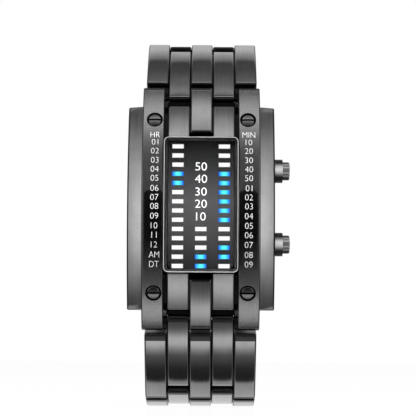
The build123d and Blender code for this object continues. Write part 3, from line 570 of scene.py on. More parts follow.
def make_crystal_finish():
    """Clear flat glass that lets shadow rays through."""
    material, tree, shader = new_material("mineral_crystal")
    tint = tree.grade(tree.noise(EVEN, 300.0, 2.0), 0.97, 1.0)
    tree.fill(shader, {"Base Color": tint, "Roughness": 0.0, "Transmission Weight": 1.0, "IOR": 1.3})
    shadow = tree.add("ShaderNodeLightPath", {}, "Is Shadow Ray")
    tree.show(shadow, shader.outputs[0], tree.add("ShaderNodeBsdfTransparent", {}))
    return material


def finish(names, material):
    """Gives CAD nodes or pieces their material."""
    for name in names:
        obj = frame["nodes"][name]
        obj.data.materials.clear()
        obj.data.materials.append(material)


def link_nodes(kind):
    """The CAD nodes of one kind from all eight links."""
    return [f"{end}_link_{number}_{kind}" for end in ("upper", "lower") for number in range(1, 5)]


def mesh_object(name, vertices, faces, material, smooth=True):
    """A mesh object at the origin from arrays of corners and faces."""
    mesh = bpy.data.meshes.new(name)
    mesh.from_pydata(np.asarray(vertices, dtype=float).tolist(), [], [list(f) for f in faces])
    mesh.materials.append(material)
    mesh.polygons.foreach_set("use_smooth", [smooth] * len(mesh.polygons))
    mesh.update()
    obj = bpy.data.objects.new(name, mesh)
    bpy.context.scene.collection.objects.link(obj)
    return obj


def text_mesh(words, height, boldness, squeeze):
    """Corners and triangles of a centred line of text in its own XY plane, scaled to a height."""
    curve = bpy.data.curves.new("print_curve", "FONT")
    curve.body = words
    curve.size = 1.0
    curve.align_x = "CENTER"
    curve.offset = boldness
    curve.resolution_u = 5
    curve.fill_mode = "FRONT"
    holder = bpy.data.objects.new("print_holder", curve)
    bpy.context.scene.collection.objects.link(holder)
    bpy.context.view_layer.update()
    flat = bpy.data.meshes.new_from_object(holder.evaluated_get(bpy.context.evaluated_depsgraph_get()))
    flat.calc_loop_triangles()
    corners = np.empty(len(flat.vertices) * 3)
    flat.vertices.foreach_get("co", corners)
    triangles = np.empty(len(flat.loop_triangles) * 3, dtype=np.int32)
    flat.loop_triangles.foreach_get("vertices", triangles)
    bpy.data.objects.remove(holder)
    bpy.data.curves.remove(curve)
    bpy.data.meshes.remove(flat)
    corners = corners.reshape(-1, 3)[:, :2]
    low, high = corners.min(axis=0), corners.max(axis=0)
    corners = (corners - (low + high) / 2) * (height / (high[1] - low[1])) * [squeeze, 1.0]
    return corners, triangles.reshape(-1, 3)


def printed(name, lines, place, material, body):
    """One printed piece from several lines of text; place carries flat points onto the surface.

    Each line is (words, x, z, height, boldness, squeeze). A flat point (u, v) goes to (x + u, z + v).
    """
    corners, faces, count = [], [], 0
    for words, x, z, height, boldness, squeeze in lines:
        flat, triangles = text_mesh(words, height, boldness, squeeze)
        corners.append(flat + np.array([x, z]))
        faces.append(triangles + count)
        count += len(flat)
    solid = place(np.concatenate(corners))
    piece = mesh_object(name, solid, np.concatenate(faces), material, smooth=False)
    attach(piece, body)


def on_front_curve(flat, proud):
    """Wraps flat points on the front arc: z becomes an arc length, and y = centre - r cos, z = r sin."""
    turn = flat[:, 1] / (FRONT_RADIUS * MM)
    radius = FRONT_RADIUS * MM + proud
    return np.stack([flat[:, 0], FRONT_CENTRE * MM - radius * np.cos(turn), radius * np.sin(turn)], axis=1)


def polar(radius, angle):
    """Points at an angle from the local y axis, towards x: (r sin a, r cos a)."""
    return np.stack([radius * np.sin(angle), radius * np.cos(angle)], axis=-1)


def end_points(inner, outer, angle, sense, rounded, corners):
    """A bar's end from its outer to its inner arc.

    A rounded end is a half circle about the pin: pin + half (cos t radial + sin t tangent), t from 0 to pi.
    A square end is two quarter circles of the corner radii, joined by a straight line.
    """
    radial = polar(1.0, np.array(angle))
    tangent = sense * np.array([math.cos(angle), -math.sin(angle)])
    if rounded:
        turn = np.linspace(0.0, math.pi, ROUND_STEPS)[:, None]
        middle, half = (inner + outer) / 2, (outer - inner) / 2
        return middle * radial + half * (np.cos(turn) * radial + np.sin(turn) * tangent)
    turn = np.linspace(0.0, math.pi / 2, CORNER_STEPS)[:, None]
    top, low = corners
    upper = (outer - top) * radial - top * tangent + top * (np.cos(turn) * radial + np.sin(turn) * tangent)
    lower = (inner + low) * radial - low * tangent + low * (np.cos(turn) * tangent - np.sin(turn) * radial)
    return np.concatenate([upper, lower])


def rail_profile(inner, outer, start, finish, round_start, round_finish, corners=(0.6, 0.4)):
    """Closed side view of a curved bar between two arcs: outer arc, far end, inner arc, near end."""
    top, low = corners
    first = start if round_start else start + top / outer
    last = finish if round_finish else finish - top / outer
    outer_arc = polar(outer, np.linspace(first, last, ARC_STEPS)[1:-1])
    first = start if round_start else start + low / inner
    last = finish if round_finish else finish - low / inner
    inner_arc = polar(inner, np.linspace(last, first, ARC_STEPS)[1:-1])
    far = end_points(inner, outer, finish, 1.0, round_finish, corners)
    near = end_points(inner, outer, start, -1.0, round_start, corners)[::-1]
    return np.concatenate([outer_arc, far, inner_arc, near])


def outline_profile(radius, front, start, end, rear, corners):
    """Closed side view with a curved front: an arc through the front, then square sides to the rear.

    Local x is the watch's z and local y is its -y, so the front is highest. The arc is
    (r sin a, c + r cos a) between the two ends, and each corner is a quarter circle.
    """
    top, low = corners
    centre = -front - radius
    turns = [math.asin(start / radius) + top / radius, math.asin(end / radius) - top / radius]
    arc = polar(radius, np.linspace(*turns, ARC_STEPS)) + [0.0, centre]
    turn = np.linspace(0.0, math.pi / 2, CORNER_STEPS)[:, None]
    sides = []
    for place, sense in ((end, 1.0), (start, -1.0)):
        edge = centre + math.sqrt(radius**2 - place**2)
        flip = np.array([sense, 1.0])
        upper = flip * np.concatenate([np.sin(turn), np.cos(turn)], axis=1)
        lower = flip * np.concatenate([np.cos(turn), -np.sin(turn)], axis=1)
        upper = [place - sense * top, edge - top] + top * upper
        lower = [place - sense * low, -rear + low] + low * lower
        sides.append(np.concatenate([upper[1:], lower]))
    return np.concatenate([arc, sides[0], sides[1][::-1]])


def inset(profile, amount):
    """A closed profile moved inwards along its normals, (-dy, dx) of the travel at each point."""
    travel = np.roll(profile, -1, axis=0) - np.roll(profile, 1, axis=0)
    travel /= np.linalg.norm(travel, axis=1)[:, None]
    normal = np.stack([-travel[:, 1], travel[:, 0]], axis=1)
    return profile - normal * amount


def ring_faces(rings, closed=False):
    """Faces between rings of equal length: round to the first again if closed, or else with two caps."""
    size, count = len(rings[0]), len(rings)
    index = np.arange(size)
    after = np.roll(index, -1)
    faces = []
    for ring in range(count if closed else count - 1):
        here, there = ring * size, (ring + 1) % count * size
        faces += np.stack([here + index, there + index, there + after, here + after], axis=1).tolist()
    if not closed:
        faces += [index.tolist(), (index[::-1] + (count - 1) * size).tolist()]
    return faces


def lofted(rings):
    """Corners and faces of a solid through closed profiles of equal length, each at its own x."""
    corners = [np.column_stack([np.full(len(profile), x), profile]) for x, profile in rings]
    return np.concatenate(corners), ring_faces(corners)


def block(profile, low, high, edge=0.0):
    """A profile extruded along x, its two rims rounded.

    On a rim of radius e, x runs out by e sin t and the profile shrinks by e (1 - cos t), with t from
    0 to 90 degrees.
    """
    turn = np.linspace(0.0, math.pi / 2, EDGE_STEPS) if edge else np.zeros(1)
    rim = [(edge * (1 - math.sin(t)), inset(profile, edge * (1 - math.cos(t)))) for t in turn]
    near = [(low + inwards, ring) for inwards, ring in reversed(rim)]
    return lofted(near + [(high - inwards, ring) for inwards, ring in rim])


def arc_frame(start, end, side, half_arc):
    """Centre and the along and outward directions, in (y, z), of an arc between two pins."""
    start, end = np.array(start), np.array(end)
    chord = np.linalg.norm(end - start)
    along = (end - start) / chord
    outward = side * np.array([-along[1], along[0]])
    centre = (start + end) / 2 - outward * chord / 2 / math.tan(half_arc)
    return centre, along, outward


CASE_FRAME = (np.array([FRONT_CENTRE, 0.0]), np.array([0.0, 1.0]), np.array([-1.0, 0.0]))
FLAT_FRAME = (np.zeros(2), np.array([0.0, 1.0]), np.array([-1.0, 0.0]))


def flipped(plane, sign):
    """A plane whose along direction points up or down."""
    centre, along, outward = plane
    return centre, along * sign, outward


def placed(solid, plane):
    """Local (x, along, outward) corners in millimetres carried to the watch, in metres."""
    corners, faces = solid
    centre, along, outward = plane
    flat = centre + corners[:, 1:2] * along + corners[:, 2:3] * outward
    return np.column_stack([corners[:, 0], flat]) * MM, faces


def joined(solids):
    """Several solids as one set of corners and faces."""
    corners, faces, count = [], [], 0
    for points, polygons in solids:
        corners.append(points)
        faces += [[index + count for index in polygon] for polygon in polygons]
        count += len(points)
    return np.concatenate(corners), faces


def face_outwards(mesh):
    """Turns the faces of a mesh of closed solids outwards."""
    shell = bmesh.new()
    shell.from_mesh(mesh)
    bmesh.ops.recalc_face_normals(shell, faces=shell.faces)
    shell.to_mesh(mesh)
    shell.free()


def piece(name, solids, material, body, finish_slot, replaced=()):
    """A finished metal piece that rides on a body and may stand for CAD nodes."""
    corners, faces = joined(solids)
    obj = mesh_object(name, corners, faces, material)
    face_outwards(obj.data)
    obj.data.set_sharp_from_angle(angle=SMOOTH_LIMIT)
    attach(obj, body)
    if replaced:
        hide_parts(*replaced)
    return obj


def rounded_rectangle(width, length, corner):
    """Closed outline in (x, z): four quarter circles of the corner radius, joined by straight sides."""
    turn = np.linspace(0.0, math.pi / 2, CORNER_STEPS)
    points = []
    for quarter, (sx, sz) in enumerate(((1, 1), (-1, 1), (-1, -1), (1, -1))):
        middle = np.array([sx * (width / 2 - corner), sz * (length / 2 - corner)])
        angle = turn + quarter * math.pi / 2
        points.append(middle + corner * np.stack([np.cos(angle), np.sin(angle)], axis=1))
    return np.concatenate(points)


def framed(width, length, corner, section):
    """A closed section carried round a rounded rectangle: each point is (distance inwards, y)."""
    rings = []
    for inwards, y in section:
        ring = rounded_rectangle(width - 2 * inwards, length - 2 * inwards, max(corner - inwards, 0.05))
        rings.append(np.column_stack([ring[:, 0], np.full(len(ring), y), ring[:, 1]]))
    return np.concatenate(rings) * MM, ring_faces(rings, closed=True)


def capped(rings):
    """A solid through closed rings of (x, y, z) corners of equal length, its two ends closed."""
    return np.concatenate(rings) * MM, ring_faces(rings)


def turned(section, place, x_way, out_way):
    """A section turned about an axis: each point is (radius, height) along the axis.

    A corner is place + r cos a x_way + r sin a y_way + h out_way, with y_way square to the other two.
    """
    x_way, out_way = np.array(x_way, dtype=float), np.array(out_way, dtype=float)
    y_way = np.cross(out_way, x_way)
    angle = np.linspace(0.0, 2 * math.pi, TURN_STEPS, endpoint=False)[:, None]
    around = np.cos(angle) * x_way + np.sin(angle) * y_way
    return capped([np.array(place) + r * around + h * out_way for r, h in section])


def screw_axes(side):
    """Place and outward direction of the two screws on one bar, in millimetres."""
    turn = math.asin(SCREW_HEIGHT / FRONT_RADIUS)
    axes = []
    for end in (1, -1):
        out = np.array([0.0, -math.cos(turn), end * math.sin(turn)])
        axes.append((np.array([side * SCALE_CENTRE, FRONT_CENTRE, 0.0]) + FRONT_RADIUS * out, out))
    return axes


def carved(obj, solids, lining):
    """Cuts solids out of a piece, lines the cut with a finish and keeps the smooth shading."""
    corners, faces = joined(solids)
    tool = mesh_object("cutter", corners, faces, lining, smooth=False)
    face_outwards(tool.data)
    cut = obj.modifiers.new("cut", "BOOLEAN")
    cut.operation = "DIFFERENCE"
    cut.solver = "EXACT"
    cut.material_mode = "TRANSFER"
    cut.object = tool
    bpy.context.view_layer.update()
    result = bpy.data.meshes.new_from_object(obj.evaluated_get(bpy.context.evaluated_depsgraph_get()))
    obj.modifiers.clear()
    obj.data = result
    result.set_sharp_from_angle(angle=SMOOTH_LIMIT)
    bpy.data.objects.remove(tool)


def darken_ends(obj, plane, lead=-math.pi):
    """Gives a bar's ends and rims painted shade, a dark material.

    Ends are the faces that look along the bar's arc or lie before the angle lead, and rims those that
    look part of the way along x.
    """
    obj.data.materials.append(bpy.data.materials["rail_ends_painted_shade"])
    last = len(obj.data.materials) - 1
    centre, along, outward = plane
    for face in obj.data.polygons:
        out = np.array(face.center[1:]) - centre * MM
        travel = face.normal[1] * out[1] - face.normal[2] * out[0]
        ends = abs(travel) > END_LIMIT * np.linalg.norm(out) or math.atan2(out @ along, out @ outward) < lead
        rim = RIM_LIMITS[0] < abs(face.normal[0]) < RIM_LIMITS[1]
        if face.material_index == 0 and (ends or rim):
            face.material_index = last


class WATCH_OT_finishes(bpy.types.Operator):
    """Gives every CAD node its procedural material"""

    bl_idname = "watch.finishes"
    bl_label = "Watch finishes"

    def execute(self, context):
        look = context.scene.watch_finish
        plating, bright, steel = (tuple(c) for c in (look.dark_metal, look.bright_metal, look.plain_metal))
        buttons = ["upper_pusher", "lower_pusher"]
        fittings = [f"{name}_{kind}" for name in buttons for kind in ("ring", "spring")]
        rails = [*link_nodes("outer"), *link_nodes("inner"), "centre_lugs", "clasp_cover"]
        pins = [*link_nodes("pins"), "case_end_pins", "clasp_hinge_pins"]
        blades = ["clasp_middle_blade", "clasp_long_blade", "clasp_left_button", "clasp_right_button"]
        for name, colour, roughness, streak, nodes in (
            ("dark_brushed_plating", plating, 0.09, 0.08, rails),
            ("grey_brushed_plating", bright, 0.15, 0.08, ["case_back", *blades]),
            ("case_side_plating_painted_light", shaded(bright, FLANK_PAINTED_LIGHT), 0.18, 0.06, ["case_body"]),
            ("plain_turned_steel", steel, 0.25, 0.12, ["case_back_screws", "battery_clip", *fittings]),
            ("pin_steel_painted_shade", PIN_PAINTED_SHADE, 0.3, 0.12, pins),
        ):
            finish(nodes, brushed_metal(name, colour, roughness, streak))
        for name, colour, roughness, metallic, coat, nodes in PLAIN_FINISHES:
            finish(nodes, plain_finish(name, colour, roughness, metallic, coat=coat))
        finish(["pusher_collars"], make_button_finish("collar_satin_painted_light", COLLAR_PAINTED_LIGHT))
        finish(buttons, make_button_finish("button_satin_painted_light", CAP_PAINTED_LIGHT))
        # The bars' finish carries a painted reflection of a dark card
        finish(["left_bezel_bar", "right_bezel_bar"], make_bar_finish(plating))
        finish(["display_plate"], make_panel_finish(tuple(look.panel)))
        finish(["unlit_light_bars"], make_white_glow(tuple(look.glow_white)))
        finish(["lit_light_bars"], make_blue_glow(tuple(look.glow_blue), tuple(look.glow_cyan)))
        finish(["display_crystal"], make_crystal_finish())
        return {"FINISHED"}


def pin_points(end, side):
    """The bracelet's five hinge pins on one side, in (y, z) millimetres, read from the joints."""
    places = {joint["name"]: joint.get("pos_m") for joint in frame["joints"]}
    points = [np.array(places[f"{end}_hinge_{number}"][1:]) / MM for number in range(1, 5)]
    heading = math.radians(LAST_HEADINGS[end])
    points.append(points[-1] + LINK_PITCH * np.array([math.sin(heading), side * math.cos(heading)]))
    return points


def column_blocks(profile, columns, plane):
    """A profile as rounded rails in some of the five columns."""
    half = COLUMN_WIDTH / 2
    middles = [column * COLUMN_PITCH for column in columns]
    return [placed(block(profile, x - half, x + half, LINK_EDGE), plane) for x in middles]


class WATCH_OT_links(bpy.types.Operator):
    """Builds the rails of the eight bracelet links"""

    bl_idname = "watch.links"
    bl_label = "Watch links"

    def execute(self, context):
        inner, outer = LINK_RADIUS - LINK_HALF_THICKNESS, LINK_RADIUS + LINK_HALF_THICKNESS
        first = -LINK_HALF_ARC + LINK_SET_OFF
        wide = rail_profile(inner, outer, first, LINK_HALF_ARC, False, True, OUTER_CORNERS)
        behind = -LINK_HALF_ARC - LINK_HALF_THICKNESS / LINK_RADIUS
        narrow = rail_profile(inner, outer - INNER_STEP_DOWN, behind, -first, False, False, INNER_CORNERS)
        plating = bpy.data.materials["dark_brushed_plating"]
        for end, side in (("upper", 1), ("lower", -1)):
            pins = pin_points(end, side)
            for number in range(1, 5):
                plane = arc_frame(pins[number - 1], pins[number], side, LINK_HALF_ARC)
                name = f"{end}_link_{number}"
                kinds = (("outer", wide, OUTER_COLUMNS, first), ("inner", narrow, INNER_COLUMNS, behind))
                for kind, profile, columns, start in kinds:
                    solids, node = column_blocks(profile, columns, plane), f"{name}_{kind}"
                    rails = piece(f"{node}_rails", solids, plating, name, "dark_steel", [node])
                    darken_ends(rails, plane, start + LOWER_LEAD / outer if end == "lower" else -math.pi)
        return {"FINISHED"}


class WATCH_OT_bars(bpy.types.Operator):
    """Builds the two bezel bars and the two centre lugs"""

    bl_idname = "watch.bars"
    bl_label = "Watch bars"

    def execute(self, context):
        bar = rail_profile(BAR_INNER_RADIUS, FRONT_RADIUS, -LUG_ANGLE, LUG_ANGLE, True, True)
        plating = bpy.data.materials["bezel_bar_plating_and_reflection"]
        bright = bpy.data.materials["screw_head_plating"]
        # Screw holes, slots and pin sleeves are lined with painted shade
        recess = bpy.data.materials["recess_painted_shade"]
        screws = []
        for name, side, low, high in (
            ("right", 1, BAR_INSIDE, BAR_OUTSIDE),
            ("left", -1, -BAR_OUTSIDE, -BAR_INSIDE),
        ):
            solids = [placed(block(bar, low, high, BAR_EDGE), CASE_FRAME)]
            rail = piece(f"{name}_bar", solids, plating, "case", "dark_steel", [f"{name}_bezel_bar"])
            hole = ((SCREW_HOLE, -1.2), (SCREW_HOLE, 1.0))
            carved(rail, [turned(hole, place, (1, 0, 0), out) for place, out in screw_axes(side)], recess)
            darken_ends(rail, CASE_FRAME)
            screws += self.screw_heads(side)
        heads = piece("screw_heads", screws, bright, "case", "polished_black", ["bezel_screws"])
        slots = [self.slot(place, out) for side in (-1, 1) for place, out in screw_axes(side)]
        carved(heads, slots, recess)
        start = math.asin(LUG_START / FRONT_RADIUS)
        lug = rail_profile(BAR_INNER_RADIUS, FRONT_RADIUS, start, LUG_ANGLE, False, True)
        solids = [solid for sign in (1, -1) for solid in column_blocks(lug, (0,), flipped(CASE_FRAME, sign))]
        grey = bpy.data.materials["grey_brushed_plating"]
        darken_ends(piece("middle_lugs", solids, grey, "case", "dark_steel", ["centre_lugs"]), CASE_FRAME)
        self.pin_sleeves(recess)
        return {"FINISHED"}

    def pin_sleeves(self, material):
        """Short sleeves round the case's end pins, between the bars and the first inner rails, dark with
        painted shade.
        """
        (front, rear), inside = reach("case_end_pins", 1), 1.5 * COLUMN_PITCH
        shape = ((AXIS_RADIUS, 0.0), (SLEEVE_RADIUS, 0.0), (SLEEVE_RADIUS, 1.0), (AXIS_RADIUS, 1.0))
        section = [(radius, share * (BAR_INSIDE - inside)) for radius, share in shape]
        sleeves = [
            turned(section, (side * inside, (front + rear) / 2, end * PIN_HEIGHT), (0, 1, 0), (side, 0, 0))
            for side in (-1, 1)
            for end in (-1, 1)
        ]
        piece("pin_sleeves", sleeves, material, "case", "dark_steel")

    def screw_heads(self, side):
        """Two screws: a dome h = top - fall (r / R)^2 with a rounded rim over a plain shank."""
        turn = np.linspace(0.0, math.pi / 2, EDGE_STEPS)
        start = SCREW_HEAD - SCREW_RIM
        edge = SCREW_TOP - SCREW_FALL - SCREW_RIM
        radii = np.linspace(AXIS_RADIUS, start, DOME_STEPS)[:-1]
        dome = [(r, SCREW_TOP - SCREW_FALL * (r / start) ** 2) for r in radii]
        rim = [(start + SCREW_RIM * math.sin(t), edge + SCREW_RIM * math.cos(t)) for t in turn]
        section = [*dome, *rim, (SCREW_HEAD, SCREW_FOOT), (AXIS_RADIUS, SCREW_FOOT)]
        return [turned(section, place, (1, 0, 0), out) for place, out in screw_axes(side)]

    def slot(self, place, out):
        """The box that a screw's slot is cut with, level with the dial."""
        across = np.cross(out, (1.0, 0.0, 0.0))
        sideways = SLOT_HALF_LENGTH * np.array([1.0, 0.0, 0.0])
        corners = [
            place + x * sideways + v * SLOT_HALF_WIDTH * across + h * SLOT_DEPTH * out
            for h in (-1, 1)
            for x, v in ((-1, -1), (1, -1), (1, 1), (-1, 1))
        ]
        faces = [[0, 1, 2, 3], [7, 6, 5, 4], [0, 4, 5, 1], [1, 5, 6, 2], [2, 6, 7, 3], [3, 7, 4, 0]]
        return np.array(corners) * MM, faces


class WATCH_OT_case(bpy.types.Operator):
    """Builds the case: side plates, end blocks, core and window frame"""

    bl_idname = "watch.case"
    bl_label = "Watch case"

    def execute(self, context):
        materials = bpy.data.materials
        half_span = BAR_OUTSIDE + 0.02
        recess, flank = materials["recess_painted_shade"], materials["case_side_plating_painted_light"]
        plate = self.plate_rings(half_span)
        mirror = [(-x, profile) for x, profile in reversed(plate)]
        solids = [placed(lofted(rings), FLAT_FRAME) for rings in (plate, mirror)]
        plates = piece("case_side_plates", solids, flank, "case", "bright_steel", ["case_body"])
        darken_ends(plates, (np.array([PLATE_FRONT + PLATE_RADIUS, 0.0]), *FLAT_FRAME[1:]))
        core, rear = self.middle_case(half_span)
        raised = self.end_blocks()
        piece("case_end_blocks", raised, materials["grey_brushed_plating"], "case", "bright_steel")
        piece("case_core", core, recess, "case", "bright_steel")
        piece("case_rear", rear, flank, "case", "bright_steel")
        piece("case_end_shade_lips", self.end_lips(), recess, "case", "dark_steel")
        solids = [framed(WINDOW_WIDTH, WINDOW_LENGTH, WINDOW_CORNER, RIM_SECTION)]
        wall = piece("window_frame", solids, recess, "case", "bright_steel")
        wall.data.materials.append(materials["window_rim_plating_and_highlight"])
        # The rim's front faces take the light rim finish with its painted highlight; the rest of the wall
        # takes painted shade
        for face in wall.data.polygons:
            face.material_index = int(face.normal[1] < -0.5 and face.center[1] < FRONT_Y * MM)
        solids = [framed(WINDOW_WIDTH, WINDOW_LENGTH, WINDOW_CORNER, LINER_SECTION)]
        piece("window_liner", solids, recess, "case", "bright_steel")
        solids = [self.glass_plate()]
        piece("flat_glass", solids, materials["mineral_crystal"], "case", "crystal", ["display_crystal"])
        return {"FINISHED"}

    def end_blocks(self):
        """The four stepped blocks beside the lugs, tilted by an arc whose middle lies off the case's."""
        ends = (WINDOW_END + BLOCK_SHIFT, BODY_END + BLOCK_SHIFT)
        tilted = outline_profile(BLOCK_RADIUS, BLOCK_FRONT, *ends, CASE_REAR - 0.3, BLOCK_CORNERS)
        tilted = tilted - [BLOCK_SHIFT, 0.0]
        planes = (flipped(FLAT_FRAME, sign) for sign in (1, -1))
        return [solid for plane in planes for solid in column_blocks(tilted, INNER_COLUMNS, plane)]

    def middle_case(self, half_span):
        """The core under the bars, dark with painted shade, and the light strip behind it, both left open at
        the window.
        """
        radius = BAR_INNER_RADIUS - 0.02
        window_side = WINDOW_WIDTH / 2 - 0.05
        across = ((-half_span, half_span),)
        beside = ((window_side, half_span), (-half_span, -window_side))
        core, rear = [], []
        for low, high, spans, core_corners, rear_corners in (
            (WINDOW_END, BODY_END, across, CORE_CORNERS, REAR_CORNERS),
            (-BODY_END, -WINDOW_END, across, CORE_CORNERS, REAR_CORNERS),
            (-WINDOW_END, WINDOW_END, beside, STRIP_CORNERS, STRIP_CORNERS),
        ):
            front = outline_profile(radius, FRONT_CENTRE - radius, low, high, CORE_REAR, core_corners)
            strip = outline_profile(FLAT_RADIUS, CORE_REAR, low, high, CASE_REAR, rear_corners)
            for span in spans:
                core.append(placed(block(front, *span), FLAT_FRAME))
                rear.append(placed(block(strip, *span), FLAT_FRAME))
        return core, rear

    def glass_plate(self):
        """The flat glass, slightly narrower at its front face."""
        front, rear = reach("display_crystal", 1)
        width, length = WINDOW_WIDTH - 2 * GLASS_INSET, WINDOW_LENGTH - 2 * GLASS_INSET
        outline = rounded_rectangle(width, length, GLASS_CORNER)
        rings = ((front, GLASS_FRONT_SHARE), (front + GLASS_BEVEL, 1.0), (rear - GLASS_BEVEL, 1.0))
        return capped([
            np.column_stack([outline[:, 0] * share, np.full(len(outline), y), outline[:, 1] * share])
            for y, share in rings
        ])

    def end_lips(self):
        """Lips behind the end blocks, dark with painted shade, hollowed about the end pins: pin + r (cos t,
        sin t).
        """
        pin = -sum(reach("case_end_pins", 1)) / 2
        turn = np.radians(np.linspace(*LIP_TURN, LIP_STEPS))
        hollow = np.array([PIN_HEIGHT, pin]) + LIP_RADIUS * np.column_stack([np.cos(turn), np.sin(turn)])
        behind = BODY_END - LIP_OVERLAP
        profile = np.concatenate([[[behind, hollow[0, 1]]], hollow, [[behind, hollow[-1, 1]]]])
        half = COLUMN_PITCH / 2 + LIP_OVERLAP
        return [
            placed(block(profile, x - half, x + half), flipped(FLAT_FRAME, sign))
            for sign in (1, -1)
            for x in (column * COLUMN_PITCH for column in INNER_COLUMNS)
        ]

    def plate_rings(self, inside):
        """One side plate: its curved face falls outwards in a straight slope and turns over a rounded rim."""
        turn = np.linspace(0.0, math.pi / 2, EDGE_STEPS)
        rims = [(CASE_SIDE - PLATE_EDGE * (1 - math.sin(t)), PLATE_EDGE * (1 - math.cos(t))) for t in turn]
        rings = []
        for x, shrink in [(inside, 0.0), *rims]:
            fall = PLATE_FALL * (x - inside) / (CASE_SIDE - inside) + shrink
            end, rear = HALF_CASE - shrink, CASE_REAR - shrink
            radius, front = PLATE_RADIUS - fall, PLATE_FRONT + fall
            rings.append((x, outline_profile(radius, front, -end, end, rear, PLATE_CORNERS)))
        return rings


class WATCH_OT_printing(bpy.types.Operator):
    """Prints the hour and minute scales on the bars and the tens on the display"""

    bl_idname = "watch.printing"
    bl_label = "Watch printing"

    def execute(self, context):
        sizes = context.scene.watch_print
        ink = plain_finish("white_ink", (0.85, 0.85, 0.85), 0.45, speckle=0.03)

        def wrap(flat):
            return on_front_curve(flat, sizes.ink)

        def flat_on_display(flat):
            depth = np.full(len(flat), DISPLAY_FRONT * MM - sizes.ink)
            return np.stack([flat[:, 0], depth, flat[:, 1]], axis=1)

        for name, side, labels in (("hour_scale", -1, HOUR_LABELS), ("minute_scale", 1, MINUTE_LABELS)):
            x = (side * SCALE_CENTRE + SCALE_SHIFT) * MM
            squeezes = [WORD_SQUEEZE if words.isalpha() else LABEL_SQUEEZE for words in labels]
            lines = [
                (words, x, z * MM, sizes.label_height, LABEL_BOLDNESS, squeeze)
                for words, z, squeeze in zip(labels, LABEL_HEIGHTS, squeezes)
            ]
            printed(name, lines, wrap, ink, "case")
        numbers = [
            (words, 0.0, z * MM, sizes.number_height, CENTRE_BOLDNESS, CENTRE_SQUEEZE)
            for words, z in zip(CENTRE_NUMBERS, CENTRE_HEIGHTS)
        ]
        printed("centre_numbers", numbers, flat_on_display, ink, "case")
        return {"FINISHED"}


def area_lamp(name, place, width, height, watts):
    """A soft rectangular lamp that shines from a place towards the watch, and that metal doesn't mirror."""
    lamp = bpy.data.lights.new(name, "AREA")
    lamp.shape = "RECTANGLE"
    lamp.size, lamp.size_y = width, height
    lamp.energy = watts * LAMP_SCALE
    obj = bpy.data.objects.new(name, lamp)
    obj.location = place
    obj.rotation_euler = (-Vector(place)).to_track_quat("-Z", "Y").to_euler()
    obj.visible_glossy = False
    bpy.context.scene.collection.objects.link(obj)


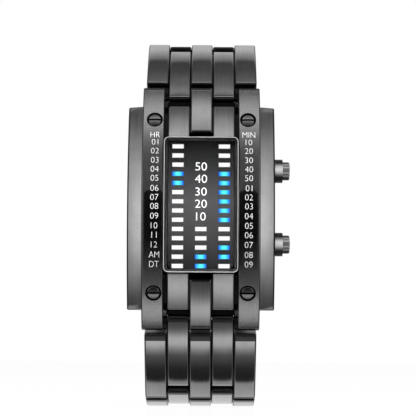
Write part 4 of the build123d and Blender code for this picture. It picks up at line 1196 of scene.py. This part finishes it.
class WATCH_OT_stage(bpy.types.Operator):
    """Sets the pale floor, the studio light and the camera"""

    bl_idname = "watch.stage"
    bl_label = "Watch stage"

    def execute(self, context):
        look = context.scene.watch_stage
        self.lay_floor(look)
        self.light_world(context, look)
        area_lamp("key_above", (0.0, -0.25, 0.55), 0.5, 0.4, look.key_watts)
        for name, x in (("side_left", -0.5), ("side_right", 0.5)):
            area_lamp(name, (x, -0.25, 0.15), 0.25, 0.6, look.side_watts)
        self.set_camera(context, look)
        return {"FINISHED"}

    def lay_floor(self, look):
        """A pale floor at the watch's foot, faded to white for camera, glossy and transmission rays."""
        material, tree, shader = new_material("pale_floor")
        tone = tree.grade(tree.noise(EVEN, 12.0, 2.0), look.floor_grey * 0.985, look.floor_grey)
        tree.fill(shader, {"Base Color": tone, "Roughness": 0.12})
        path = tree.nodes.new("ShaderNodeLightPath").outputs
        seen = path["Is Camera Ray"]
        for name in ("Is Glossy Ray", "Is Transmission Ray"):
            seen = tree.combine("MAXIMUM", seen, path[name])
        share = tree.combine("MULTIPLY", seen, look.floor_white)
        tree.show(share, shader.outputs[0], tree.add("ShaderNodeEmission", {}))
        ways = ((-1, -1), (1, -1), (1, 1), (-1, 1))
        corners = [(x * FLOOR_REACH, y * FLOOR_REACH, CAD_LOW[2]) for x, y in ways]
        floor = mesh_object("floor", corners, [(0, 1, 2, 3)], material, smooth=False)
        floor.visible_glossy = False
        floor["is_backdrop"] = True

    def light_world(self, context, look):
        """White to the camera; to the metal, a studio of soft boxes and dark cards set out by height.

        The height angle runs from the back, under the watch, past the camera at zero and over the top.
        """
        world = bpy.data.worlds.new("studio")
        world.use_nodes = True
        tree = Wiring(world.node_tree)
        way = tree.split("ShaderNodeTexCoord", "Generated")
        height = tree.combine("ARCTAN2", way["Z"], tree.combine("MULTIPLY", way["Y"], -1.0))
        stops = tuple(((angle + 180.0) / 360.0, value) for angle, value in STUDIO_BANDS)
        bands = tree.ramp(tree.spread(height, -math.pi, math.pi), stops)
        stops = tuple(((lift + 1.0) / 2.0, value) for lift, value in SIDE_BANDS)
        cards = tree.ramp(tree.spread(way["Z"], -1.0, 1.0), stops)
        sideways = tree.combine("ABSOLUTE", way["X"])
        start = tree.spread(sideways, *SIDE_START, interpolation_type="SMOOTHSTEP")
        light = tree.multiply(tree.mix(start, bands, cards), tree.ramp(sideways, SIDE_SHADE))
        seen = tree.add("ShaderNodeLightPath", {}, "Is Camera Ray")
        colour = tree.mix(seen, light, (look.backdrop,) * 3 + (1.0,))
        tree.fill(tree.first("BACKGROUND"), {"Color": colour})
        context.scene.world = world

    def set_camera(self, context, look):
        """The photograph's camera, aimed at the target from its distance and height angle."""
        camera = bpy.data.cameras.new("camera")
        camera.lens = look.lens
        camera.clip_start = 0.01
        obj = bpy.data.objects.new("camera", camera)
        away = Vector((0.0, -math.cos(look.elevation), math.sin(look.elevation)))
        obj.location = Vector(look.target) + away * look.distance
        roll = Quaternion((0.0, 0.0, 1.0), look.roll)
        obj.rotation_euler = ((-away).to_track_quat("-Z", "Y") @ roll).to_euler()
        context.scene.collection.objects.link(obj)
        context.scene.camera = obj
        context.scene.view_settings.view_transform = "Standard"


class WATCH_PT_panel(bpy.types.Panel):
    """Lists the settings and the steps"""

    bl_idname = "WATCH_PT_panel"
    bl_label = "Wristwatch"
    bl_space_type = "VIEW_3D"
    bl_region_type = "UI"
    bl_category = "Watch"

    def draw(self, context):
        for group in (context.scene.watch_stage, context.scene.watch_finish, context.scene.watch_print):
            box = self.layout.box()
            for name in group.__annotations__:
                box.prop(group, name)
        for step in STEPS:
            self.layout.operator(step.bl_idname)


STEPS = (
    WATCH_OT_stage,
    WATCH_OT_finishes,
    WATCH_OT_links,
    WATCH_OT_bars,
    WATCH_OT_case,
    WATCH_OT_printing,
)
GROUPS = (("watch_stage", StageSettings), ("watch_finish", FinishSettings), ("watch_print", PrintSettings))


def register():
    for name, group in GROUPS:
        bpy.utils.register_class(group)
        setattr(bpy.types.Scene, name, PointerProperty(type=group))
    for step in (*STEPS, WATCH_PT_panel):
        bpy.utils.register_class(step)


def unregister():
    for step in reversed((*STEPS, WATCH_PT_panel)):
        bpy.utils.unregister_class(step)
    for name, group in reversed(GROUPS):
        delattr(bpy.types.Scene, name)
        bpy.utils.unregister_class(group)


def main():
    register()
    for step in STEPS:
        family, step_name = step.bl_idname.split(".")
        getattr(getattr(bpy.ops, family), step_name)()


if __name__ == "__main__":
    main()
